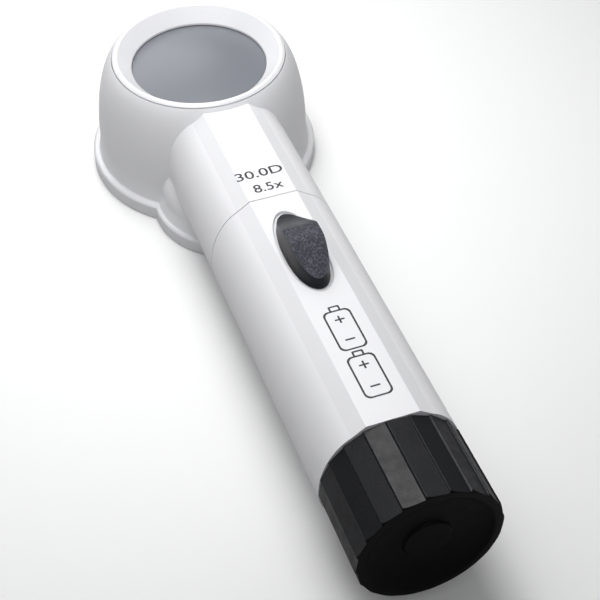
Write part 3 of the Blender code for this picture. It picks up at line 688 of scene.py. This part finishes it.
def make_head_moulding():
    outside = [(0, 0)] + foot(FOOT_R, FOOT_H, WALL_R)
    outside += shoulder(0, 0, SPLIT_ANGLE, 44) + [(0, seam_z)]
    bell = settle(turned("head_moulding", outside, 192), bell_place)

    neck = bar("neck", section, -4, JOINT_S - GAP / 2)
    round_end(neck, JOINT_S - GAP / 2, 0.18)
    combine(bell, settle(neck, handle_place), "UNION")

    pod_wall = POD_R - 1.0
    pod_profile = [(0, 0)] + foot(POD_FOOT_R, FOOT_H - 0.05, POD_R)
    pod_profile += arc(pod_wall - 8, 8, 8, POD_TOP - 8, 0, 90, 20) + [(0, POD_TOP)]
    pod = turned("pod", pod_profile, 144)
    combine(bell, settle(pod, bell_place @ Matrix.Translation((POD_X * MM, 0, 0))), "UNION")
    return bell


head_moulding = make_head_moulding()
print("joined:", len(head_moulding.data.polygons), "faces")

# %% [markdown]
# ## The hollow
# One turned core clears the bell from below and cuts the seat of the lens, a second clears the lamp
# chamber, and a third bores the neck for the handle's spigot.

# %% Hollow it out
SEAT_Z = 30.9
SEAT_R = 21.8
SEAT_T = 2.0
WALL = 2.2


def hollow_head(bell):
    inside = [(0, -1), (FOOT_R - 3.4, -1), (WALL_R - WALL, FOOT_H)] + shoulder(WALL, 0, 48, 24)
    inside += [(SEAT_R, SEAT_Z - SEAT_T), (SEAT_R, SEAT_Z), (seam_r + GAP, SEAT_Z)]
    inside += [(seam_r + GAP, seam_z - 0.52), (seam_r + GAP + 0.3, seam_z - 0.22)]
    inside += [(seam_r + GAP + 0.3, SHOULDER_TOP + 5), (0, SHOULDER_TOP + 5)]
    combine(bell, settle(turned("bell_core", inside, 192), bell_place), "DIFFERENCE")

    chamber_r = POD_R - WALL
    chamber = [(0, -1), (chamber_r, -1), (chamber_r - 0.4, 7)]
    chamber += arc(chamber_r - 7, 7.5, 6, POD_TOP - WALL - 7.5, 0, 90, 12) + [(0, POD_TOP - WALL)]
    core = settle(turned("chamber_core", chamber, 96), bell_place @ Matrix.Translation((POD_X * MM, 0, 0)))
    combine(bell, core, "DIFFERENCE")

    socket = [(0, -8), (11.0, -8), (11.0, 3.5), (16.6, 3.5), (16.6, JOINT_S - 0.4)]
    socket += [(17.1, JOINT_S + 0.1), (17.1, JOINT_S + 1), (0, JOINT_S + 1)]
    combine(bell, settle(turned("neck_core", socket, 96, "X"), handle_place), "DIFFERENCE")


hollow_head(head_moulding)
smooth(head_moulding)
finish_piece(head_moulding, "head", "white_plastic", white_moulding, "head_shell")

# %% [markdown]
# ## The bezel
# A separate ring closes the top of the bell and holds the lens down. Its low crest lies just inside
# the seam, and from there it falls to the lens as a plain cone. Being turned, it is one profile spun
# round the bell's axis, with small radii on both edges of the seam.

# %% Spin the bezel
APERTURE_R = 20.9
APERTURE_Z = 34.5
CREST_R = 25.55
LENS_R = 24.0


def make_bezel_ring():
    lip_z = SEAT_Z + 3.3
    skirt = SEAT_Z + GAP
    edge_r = seam_r + 0.12
    profile = [(edge_r, skirt), (edge_r, seam_z - 0.25)]
    profile += arc(edge_r - 0.2, seam_z - 0.25, 0.2, 0.22, 20, 70, 3)
    profile += arc(CREST_R, crest_z - 0.75, 0.9, 0.75, 50, 135, 16)
    profile += [(APERTURE_R + 0.5, APERTURE_Z + 0.75), (APERTURE_R + 0.1, APERTURE_Z + 0.35)]
    profile += [(APERTURE_R, APERTURE_Z), (APERTURE_R, lip_z), (LENS_R + GAP, lip_z), (LENS_R + GAP, skirt)]
    return settle(turned("bezel_ring", profile, 192), bell_place)


bezel_ring = smooth(make_bezel_ring())
finish_piece(bezel_ring, "head", "white_plastic", white_moulding, "lens_bezel")

# %% [markdown]
# ## The lens
# A thick glass lens with a strongly curved underside and a nearly flat top, held by a narrow rim.
# Both faces are spheres, so the profile is two shallow arcs that are spun round the bell's axis.

# %% Spin the lens
def sag(radius, reach, drop):
    """Depth of a spherical face at a radius, for a face that drops by drop at reach."""
    sphere = (reach ** 2 + drop ** 2) / (2 * drop)
    return sphere - math.sqrt(sphere ** 2 - radius ** 2)


def make_lens():
    rim_low = SEAT_Z + 1.2
    rim_high = rim_low + 1.8
    reach = SEAT_R - 0.8
    drop, rise = 10.0, 2.6
    radii = [reach * i / 24 for i in range(25)]
    profile = [(r, rim_low - drop + sag(r, reach, drop)) for r in radii]
    profile += [(LENS_R - 0.2, rim_low), (LENS_R, rim_low + 0.2)]
    profile += [(LENS_R, rim_high - 0.2), (LENS_R - 0.2, rim_high)]
    profile += [(r, rim_high + rise - sag(r, reach, rise)) for r in reversed(radii)]
    return settle(turned("lens_body", profile, 128), bell_place)


lens_body = smooth(make_lens(), 20)
finish_piece(lens_body, "head", "clear_glass", glass_with_painted_shade, "lens")

# %% [markdown]
# ## The battery tube
# The handle is a long hollow moulding with the same section as the neck. A round spigot at the front
# plugs into the neck, and a threaded boss at the back takes the cap. The flat has a shallow oval
# recess for the switch. A straight bar is the quickest start, and the rest is joined on or cut out.
#
# ### Its screw thread
# A thread is one small trapezoid that climbs as it turns, which is what the Screw modifier does. The
# boss gets its ridge outside and the cap gets one inside, half a pitch on, so that they mesh.

# %% Screw thread
PITCH = 3.2
THREAD_FIRST = 132.6
THREAD_TURNS = 2.4


def thread_ridge(name, root_r, height, start_turn):
    """A helical ridge round the handle's axis. A negative height makes one that points inwards."""
    first = THREAD_FIRST + start_turn * PITCH
    over = 0.25 if height > 0 else -0.25
    ridge = [(root_r - over, first - 1.0), (root_r, first - 0.96), (root_r + height, first - 0.38)]
    ridge += [(root_r + height, first + 0.38), (root_r, first + 0.96), (root_r - over, first + 1.0)]
    piece = draw(name, [(s * MM, 0, r * MM) for r, s in ridge], closed=True)
    bpy.ops.mesh.select_all(action="SELECT")
    bpy.ops.mesh.edge_face_add()
    bpy.ops.mesh.delete(type="ONLY_FACE")
    bpy.ops.object.mode_set(mode="OBJECT")
    screw = piece.modifiers.new("helix", "SCREW")
    screw.axis = "X"
    screw.angle = math.tau * THREAD_TURNS
    screw.screw_offset = PITCH * MM * THREAD_TURNS
    screw.steps = screw.render_steps = 150
    only(piece)
    bpy.ops.object.modifier_apply(modifier=screw.name)
    bpy.ops.object.mode_set(mode="EDIT")
    bpy.ops.mesh.select_all(action="SELECT")
    bpy.ops.mesh.remove_doubles(threshold=1e-6)
    bpy.ops.mesh.select_all(action="DESELECT")
    bpy.ops.mesh.select_non_manifold(extend=False, use_wire=False, use_multi_face=False,
                                     use_non_contiguous=False, use_verts=False)
    bpy.ops.mesh.edge_face_add()
    return leave_edit(piece)

# %% [markdown]
# ## Recess and slot
# The recess is a pointed oval that leaves room for the switch to slide. Its edge gets a small chamfer
# from a second cutter that widens upwards. The slot in its floor lets the switch's stem through.

# %% Recess and slot
RECESS = (49.7, 82.7)
RECESS_W = 5.75
RECESS_D = 0.9
SLOT = (57.0, 75.0)
SLOT_W = 2.6
CHAMFER = 0.15


def pointed_oval(stations, half_width):
    """The plan that the recess and the switch share: an oval with pointed ends."""
    middle = (stations[0] + stations[1]) / 2
    half = (stations[1] - stations[0]) / 2
    outline = []
    for i in range(96):
        c, s = math.cos(math.tau * i / 96), math.sin(math.tau * i / 96)
        power = 2.6 if c > 0 else 2.0
        outline.append((middle + half * math.copysign(abs(c) ** (2 / power), c), half_width * s))
    return outline


def stadium(stations, half_width, steps=18):
    """A slot with round ends, as (x, y) points."""
    first, last = stations[0] + half_width, stations[1] - half_width
    return arc(last, 0, half_width, half_width, -90, 90, steps) + \
        arc(first, 0, half_width, half_width, 90, 270, steps)


def cut_recess(tube):
    recess = plate("recess", pointed_oval(RECESS, RECESS_W), FLAT_Z - RECESS_D, FLAT_Z + 3)
    combine(tube, settle(recess, Matrix()), "DIFFERENCE")
    chamfer = plate("recess_edge", pointed_oval(RECESS, RECESS_W), FLAT_Z - CHAMFER, FLAT_Z + CHAMFER)
    select_where(chamfer, lambda place: place.z > FLAT_Z * MM)
    half = (RECESS[1] - RECESS[0]) / 2
    bpy.ops.transform.resize(value=(1 + 2 * CHAMFER / half, 1 + 2 * CHAMFER / RECESS_W, 1),
                             center_override=((RECESS[0] + half) * MM, 0, 0))
    leave_edit(chamfer)
    combine(tube, chamfer, "DIFFERENCE")
    slot = plate("slot", stadium(SLOT, SLOT_W), 10, FLAT_Z + 3)
    return combine(tube, slot, "DIFFERENCE")

# %% [markdown]
# ## The tube
# The tube joins the bar, the spigot and the threaded boss, and then its bore, the ribs' spaces, two
# grooves for the contact strips and the recess are cut out of it.

# %% Make the tube
SPIGOT_S = 28.5
SPIGOT_R = 16.3
BORE_R = 13.6
TUBE_BORE_R = 16.4
BOSS_R = 16.6
BOSS_END = 143.6
RIB_ANGLES = (60, 120, 180, 240, 300)


def ribbed_bore():
    """The tube's inside, round with five ribs that centre the cells."""
    outline = []
    for degrees in range(0, 360, 3):
        rib = degrees in RIB_ANGLES
        radius = BORE_R if rib else TUBE_BORE_R
        spans = (-2.6, 2.6) if rib else (0,)
        for offset in spans:
            angle = math.radians(degrees + offset)
            outline.append((radius * math.sin(angle), radius * math.cos(angle)))
    return outline


def make_battery_tube():
    tube = bar("battery_tube", section, JOINT_S + GAP / 2, CAP_S - GAP / 2)
    round_end(tube, JOINT_S + GAP / 2, 0.18)
    round_end(tube, CAP_S - GAP / 2, 0.25)
    spigot = [(0, SPIGOT_S), (SPIGOT_R - 0.9, SPIGOT_S)]
    spigot += [(r, s) for s, r in arc(SPIGOT_S + 0.9, SPIGOT_R - 0.9, 0.9, 0.9, 180, 90, 5)[1:]]
    spigot += [(SPIGOT_R, JOINT_S + 3), (0, JOINT_S + 3)]
    combine(tube, turned("spigot", spigot, 96, "X"), "UNION")
    boss = [(0, CAP_S - 4), (BOSS_R, CAP_S - 4), (BOSS_R, CAP_S), (BOSS_R - 0.8, CAP_S + 0.02)]
    boss += [(BOSS_R - 0.8, CAP_S + 1.7), (BOSS_R, CAP_S + 1.8), (BOSS_R, BOSS_END - 0.5)]
    boss += [(BOSS_R - 0.5, BOSS_END), (0, BOSS_END)]
    boss = turned("boss", boss, 96, "X")
    combine(boss, thread_ridge("boss_thread", BOSS_R, 0.7, 0), "UNION")
    combine(tube, boss, "UNION")

    bore = [(0, SPIGOT_S - 2), (BORE_R, SPIGOT_S - 2), (BORE_R, BOSS_END + 2), (0, BOSS_END + 2)]
    combine(tube, turned("bore", bore, 96, "X"), "DIFFERENCE")
    combine(tube, bar("ribbed_bore", ribbed_bore(), 46, 126), "DIFFERENCE")
    for start, end, top in ((40, 47, 16.25), (125, BOSS_END + 1, 16.15)):
        key = bar("strip_groove", [(-2.9, 10), (2.9, 10), (2.9, top), (-2.9, top)], start, end)
        combine(tube, key, "DIFFERENCE")
    return settle(cut_recess(tube), handle_place)


battery_tube = smooth(make_battery_tube())
finish_piece(battery_tube, "handle", "white_plastic", white_moulding, "handle_tube")

# %% [markdown]
# ## The thumb switch
# The switch is a black slider that fills most of the recess. From above it is a pointed oval. From
# the side it is a smooth ramp, a short level grip and a long slope down to the back. So it is an oval
# block with slightly leaning walls that is trimmed by its own side view.

# %% Trim the switch
SLIDER = (51.3, 81.1)
SLIDER_W = 5.2
RIDGE_S, RIDGE_TOP = 69.8, 7.3
TOP_TAPER = (0.88, 0.93, 1)
TAPER_S = 66.4


def make_thumb_switch():
    floor_z = FLAT_Z - RECESS_D + GAP
    switch = plate("thumb_switch", pointed_oval(SLIDER, SLIDER_W), floor_z, FLAT_Z + 8)
    select_where(switch, lambda place: place.z > FLAT_Z * MM)
    bpy.ops.transform.resize(value=TOP_TAPER, center_override=(TAPER_S * MM, 0, 0))
    leave_edit(switch)

    heights = [(50, 0.3), (52.3, 0.6), (53.8, 1.0), (56, 2.0), (58, 3.05), (60, 4.25), (62.7, 6.05)]
    heights += [(64.4, 7.1), (RIDGE_S, RIDGE_TOP), (83, 1.4)]
    side = [(50, floor_z - 1)] + [(s, FLAT_Z + h) for s, h in heights] + [(83, floor_z - 1)]
    view = extruded("side_view", [(x * MM, -8 * MM, z * MM) for x, z in side], (0, 16 * MM, 0))
    combine(switch, view, "INTERSECT")

    only(switch)
    rounding = switch.modifiers.new("moulded_edges", "BEVEL")
    rounding.width = 0.28 * MM
    rounding.segments = 3
    rounding.limit_method = "ANGLE"
    rounding.angle_limit = math.radians(20)
    rounding.use_clamp_overlap = True
    bpy.ops.object.modifier_apply(modifier=rounding.name)
    stem = bar("stem", [(-2.2, 15.5), (2.2, 15.5), (2.2, FLAT_Z), (-2.2, FLAT_Z)], 61.6, 70.4)
    combine(switch, stem, "UNION")
    return settle(switch, handle_place)


thumb_switch = smooth(make_thumb_switch(), 18)
finish_piece(thumb_switch, "switch", "black_plastic", smooth_black, "switch_slider")

# %% [markdown]
# ## The grained pad
# The pad is the same piece of plastic as the rest of the switch, so it isn't modelled apart. Its faces
# are found by their direction and place, and take a second material slot.

# %% Grain the grip faces
def grain_grip(switch):
    """Gives the faces on top, behind the ramp, their own finish."""
    switch.data.materials.append(pad_black)
    into_handle = handle_place.inverted()
    turned_in = into_handle.to_3x3()
    count = 0
    for face in switch.data.polygons:
        centre = into_handle @ face.center
        normal = turned_in @ face.normal
        if normal.z > 0.8 and centre.x > 64.4 * MM and centre.z > (FLAT_Z + 1.9) * MM:
            face.material_index = 1
            count += 1
    return count


print("grained faces:", grain_grip(thumb_switch))

# %% [markdown]
# ## The screw cap
# The cap's grip has twenty flats that overlap like saw teeth, and its end is a rounded lip round a
# shallow dish. The grip is a straight bar with a saw-tooth outline, and the rest is a turned shape.
# What the two have in common is the cap, so each flat ends cleanly at the lip.

# %% Cut the cap
END_S = 152.8
CAP_BORE_R = 17.65


def saw_teeth():
    """The grip's outline: each flat falls a little and then steps up to the next."""
    outline, radii = [], []
    for i in range(20):
        base = math.radians(12 + 18 * i)
        for turn, radius, corner in ((0, 19.1, 0.2), (math.radians(16.9), 18.65, 0.1)):
            outline.append((radius * math.sin(base + turn), radius * math.cos(base + turn)))
            radii.append(corner)
    return rounded(outline, radii, 3)


def make_screw_cap():
    front = CAP_S + GAP / 2
    dish = [(0, END_S - 1.5), (5.8, END_S - 1.5), (6.1, END_S - 1.65), (6.4, END_S - 2.2), (6.7, END_S - 2.3)]
    dish += [(9.0, END_S - 2.25), (11.5, END_S - 2.0), (14.0, END_S - 1.45), (15.3, END_S - 0.95)]
    dish += [(15.9, END_S - 0.6), (16.3, END_S - 0.25), (16.6, END_S - 0.08), (17.0, END_S)]
    lip = arc(18.35, END_S - 0.5, 0.65, 0.5, 85, 5, 6)
    grip = [(19.3, END_S - 0.8), (19.3, front)]
    inside = [(CAP_BORE_R + 0.25, front), (CAP_BORE_R + 0.25, CAP_S + 1.9), (CAP_BORE_R, CAP_S + 2.0)]
    inside += [(CAP_BORE_R, 147.9), (CAP_BORE_R - 0.6, 148.5), (0, 148.5)]
    cap = turned("screw_cap", dish + lip + grip + inside, 160, "X")
    combine(cap, bar("grip", saw_teeth(), CAP_S - 2, END_S + 2), "INTERSECT")
    combine(cap, thread_ridge("cap_thread", CAP_BORE_R, -0.7, 0.5), "UNION")
    return settle(cap, handle_place)


screw_cap = smooth(make_screw_cap(), 24)
finish_piece(screw_cap, "cap", "black_plastic", grip_black, "end_cap")

# %% [markdown]
# ## The dish of the cap
# The dish and the lip are smoother than the grip, and are found by their place in the same way.

# %% Smooth dish
def smooth_dish(cap):
    """Gives the faces of the dish and the lip the dull black."""
    cap.data.materials.append(dish_black)
    into_handle = handle_place.inverted()
    turned_in = into_handle.to_3x3()
    count = 0
    for face in cap.data.polygons:
        centre = into_handle @ face.center
        if centre.x > (END_S - 2.4) * MM and (turned_in @ face.normal).x > 0.25:
            face.material_index = 1
            count += 1
    return count


print("polished faces:", smooth_dish(screw_cap))

# %% [markdown]
# ## Seal
# A rubber ring lies in the groove between the tube and the cap, and is seen when the cap is off. It is
# a small circle spun round the handle's axis.

# %% Rubber seal
def make_cap_seal():
    profile = arc(BOSS_R + 0.15, CAP_S + 0.9, 0.55, 0.55, 0, 345, 15)
    return settle(turned("rubber_seal", profile, 96, "X"), handle_place)


finish_piece(smooth(make_cap_seal(), 60), "handle", "black_rubber", rubber_black, "cap_seal")

# %% [markdown]
# ## Reflector
# The bright cup round the bulb is a parabola with a thin wall, so its profile follows that curve out
# and comes back a little outside it.

# %% Reflector
def make_reflector():
    rear_s, rear_r, curve = 29.4, 6.2, 0.0592
    radii = [rear_r + (15.6 - rear_r) * i / 32 for i in range(17)]
    inner = [(r, rear_s - curve * (r ** 2 - rear_r ** 2)) for r in radii]
    outer = [(r + 0.56, s + 0.42) for r, s in reversed(inner)]
    return settle(turned("reflector_cup", inner + outer, 96, "X"), handle_place)


finish_piece(smooth(make_reflector()), "handle", "mirror_metal", mirror_plate, "lamp_reflector")

# %% [markdown]
# ## Bulb
# The bulb screws in. Its envelope is a turned solid with a turned hollow cut out, and its shell is a
# profile with rounded ridges, which looks like a thread at this size.

# %% Bulb
def make_bulb_glass():
    """A thin glass envelope, closed at the back by the stem that holds the filament."""
    outer = arc(20.8, 0, 5.6, 5.6, 178, 38, 22)
    outer = [(0, 15.2)] + [(r, s) for s, r in outer[1:]]
    outer += [(3.45, 26.2), (3.6, 27.2), (3.6, 29.6), (0, 29.6)]
    envelope = turned("bulb_envelope", outer, 48, "X")
    hollow = arc(20.8, 0, 5.15, 5.15, 178, 42, 20)
    hollow = [(0, 15.65)] + [(r, s) for s, r in hollow[1:]] + [(3.0, 26.4), (3.0, 27.0), (0, 27.0)]
    return settle(combine(envelope, turned("bulb_hollow", hollow, 48, "X"), "DIFFERENCE"), handle_place)


def make_screw_shell():
    profile = [(4.1, 28.4), (4.55, 28.4), (4.7, 28.6), (4.7, 29.2)]
    for turn in range(4):
        base = 29.4 + turn * 2.0
        profile += [(4.42, base), (4.3, base + 0.25), (4.42, base + 0.5), (4.62, base + 0.8),
                    (4.7, base + 1.1), (4.62, base + 1.4)]
    profile += [(4.3, 37.2), (3.9, 37.2), (3.9, 30.0), (4.1, 29.6)]
    return settle(turned("bulb_screw_shell", profile, 48, "X"), handle_place)


# The bulb's glass is the lens's glass, so it carries the same painted grey shade.
finish_piece(smooth(make_bulb_glass(), 40), "handle", "clear_glass", glass_with_painted_shade, "bulb_glass")
finish_piece(smooth(make_screw_shell(), 40), "handle", "nickel", nickel_plate, "bulb_shell")

# %% [markdown]
# ## Wires
# The battery spring and the filament are bent wire. A curve with a round bevel follows their points,
# and is turned into a mesh, which is quicker than extruding a ring step by step.

# %% A wire, and the spring
def wire(name, points, radius, sides):
    """A wire with round section through points in millimetres, in the handle's frame."""
    data = bpy.data.curves.new(name, "CURVE")
    data.dimensions = "3D"
    data.bevel_depth = radius * MM
    data.bevel_resolution = sides
    data.use_fill_caps = True
    data.twist_mode = "Z_UP"
    spline = data.splines.new("POLY")
    spline.points.add(len(points) - 1)
    for point, (x, y, z) in zip(spline.points, points):
        point.co = (x * MM, y * MM, z * MM, 1)
    piece = bpy.data.objects.new(name, data)
    bpy.context.scene.collection.objects.link(piece)
    only(piece)
    bpy.ops.object.convert(target="MESH")
    piece = bpy.context.object
    bpy.ops.object.mode_set(mode="EDIT")
    leave_edit(piece)
    return settle(piece, handle_place)


def spring_path():
    turns, per_turn = 3, 32
    count = turns * per_turn
    points = []
    for i in range(count + 1):
        t = i / count
        angle = math.tau * turns * t
        radius = 8.6 - 3.4 * (1 - t)
        points.append((141.6 + 5.4 * t, radius * math.sin(angle), radius * math.cos(angle)))
    return points


contact_spring = wire("contact_spring", spring_path(), 0.45, 3)
bpy.ops.object.shade_smooth()
finish_piece(contact_spring, "cap_contact", "nickel", nickel_plate, "battery_spring")

# %% [markdown]
# ## Filament
# In the bulb a fine coil hangs between two leads. It is the same kind of wire, only much thinner.

# %% Filament
def filament_path():
    """Two straight leads with a fine coil between them."""
    coil = [(19.3 + 0.28 * math.cos(math.tau * 8 * i / 96), -1.4 + 2.8 * i / 96,
             0.28 * math.sin(math.tau * 8 * i / 96)) for i in range(97)]
    return [(27.2, -1.0, 0.0), (22.5, -1.2, 0.0)] + coil + [(22.5, 1.2, 0.0), (27.2, 1.0, 0.0)]


filament = wire("bulb_filament", filament_path(), 0.07, 2)
bpy.ops.object.shade_smooth()
finish_piece(filament, "handle", "nickel", filament_metal)

# %% [markdown]
# ## Printed marks
# The neck carries the lens power in two short lines, and the handle a plain drawing of how the two
# cells go in. Both are printed in black. They are cut from thin sheets that lie on the flat, so the
# print stays sharp from close by and moves with its moulding.

# %% Figures on the neck
INK = 0.02


def printed_line(name, words, baseline, cap_height, left, right):
    """Prints a line across the flat, with its feet towards the cap."""
    bpy.ops.object.select_all(action="DESELECT")
    bpy.ops.object.text_add(location=(0, 0, 0))
    text = bpy.context.object
    text.name = name
    text.data.body = words
    text.data.size = 1.0
    text.data.offset = 0.008
    text.data.extrude = 0.5
    bpy.ops.object.convert(target="MESH")
    text = bpy.context.object
    low = [min(v.co[i] for v in text.data.vertices) for i in range(3)]
    high = [max(v.co[i] for v in text.data.vertices) for i in range(3)]
    scale = Matrix.Diagonal(((right - left) / (high[0] - low[0]) * MM, cap_height / (high[1] - low[1]) * MM,
                             INK * MM, 1))
    text.data.transform(scale @ Matrix.Translation((-low[0], -low[1], 0.5)))
    turn = Matrix(((0, -1, 0, 0), (1, 0, 0, 0), (0, 0, 1, 0), (0, 0, 0, 1)))
    place = Matrix.Translation((baseline * MM, left * MM, (FLAT_Z + 0.002) * MM)) @ turn
    text.data.materials.clear()
    return settle(text, handle_place @ place)


for name, words, line in (("power_figures", "30.0D", (33.75, 3.4, -7.3, 6.4)),
                          ("times_figures", "8.5x", (40.1, 3.4, -4.1, 4.4))):
    figures = printed_line(name, words, *line)
    finish_piece(figures, "head", "black_plastic", printing_ink)

# %% [markdown]
# ## The drawing of the cells
# Two outlines of cells, each with its terminal and its signs, show which way round they go. They are
# rounded boxes whose middle is cut away, joined to one thin sheet.

# %% Cell drawing on the handle
def printed_outline(name, outline, stroke):
    """An outline of the given stroke: a thin plate with its middle cut away."""
    sheet = plate(name, outline, FLAT_Z + 0.002, FLAT_Z + INK)
    low_x, high_x = min(x for x, _ in outline), max(x for x, _ in outline)
    low_y, high_y = min(y for _, y in outline), max(y for _, y in outline)
    middle_x, middle_y = (low_x + high_x) / 2, (low_y + high_y) / 2
    narrow_x = 1 - 2 * stroke / (high_x - low_x)
    narrow_y = 1 - 2 * stroke / (high_y - low_y)
    inner = [(middle_x + (x - middle_x) * narrow_x, middle_y + (y - middle_y) * narrow_y) for x, y in outline]
    combine(sheet, plate("middle", inner, FLAT_Z - 1, FLAT_Z + 1), "DIFFERENCE")
    return sheet


def box_outline(x0, x1, y0, y1, corner):
    points = [(x0, y0), (x1, y0), (x1, y1), (x0, y1)]
    return rounded(points, [corner] * 4, 6)


def make_cell_drawing():
    stroke = 0.5
    drawing = printed_outline("cell_drawing", box_outline(90.2, 104.4, -3.7, 3.7, 1.6), stroke)
    low, high = FLAT_Z + 0.002, FLAT_Z + INK
    joined = [printed_outline("second_cell", box_outline(106.6, 120.8, -3.7, 3.7, 1.6), stroke),
              printed_outline("first_terminal", box_outline(88.6, 90.7, -1.5, 1.5, 0.4), stroke),
              printed_outline("second_terminal", box_outline(105.0, 107.1, -1.5, 1.5, 0.4), stroke)]
    for cell_x in (93.6, 110.0):
        for x0, x1, half in ((-1.3, 1.3, 0.25), (-0.25, 0.25, 1.3), (7.0, 7.5, 1.3)):
            stroke_box = box_outline(cell_x + x0, cell_x + x1, -half, half, 0.05)
            joined.append(plate("sign", stroke_box, low, high))
    for mark in joined:
        combine(drawing, mark, "UNION")
    return settle(drawing, handle_place)


cell_drawing = make_cell_drawing()
finish_piece(cell_drawing, "handle", "black_plastic", printing_ink)
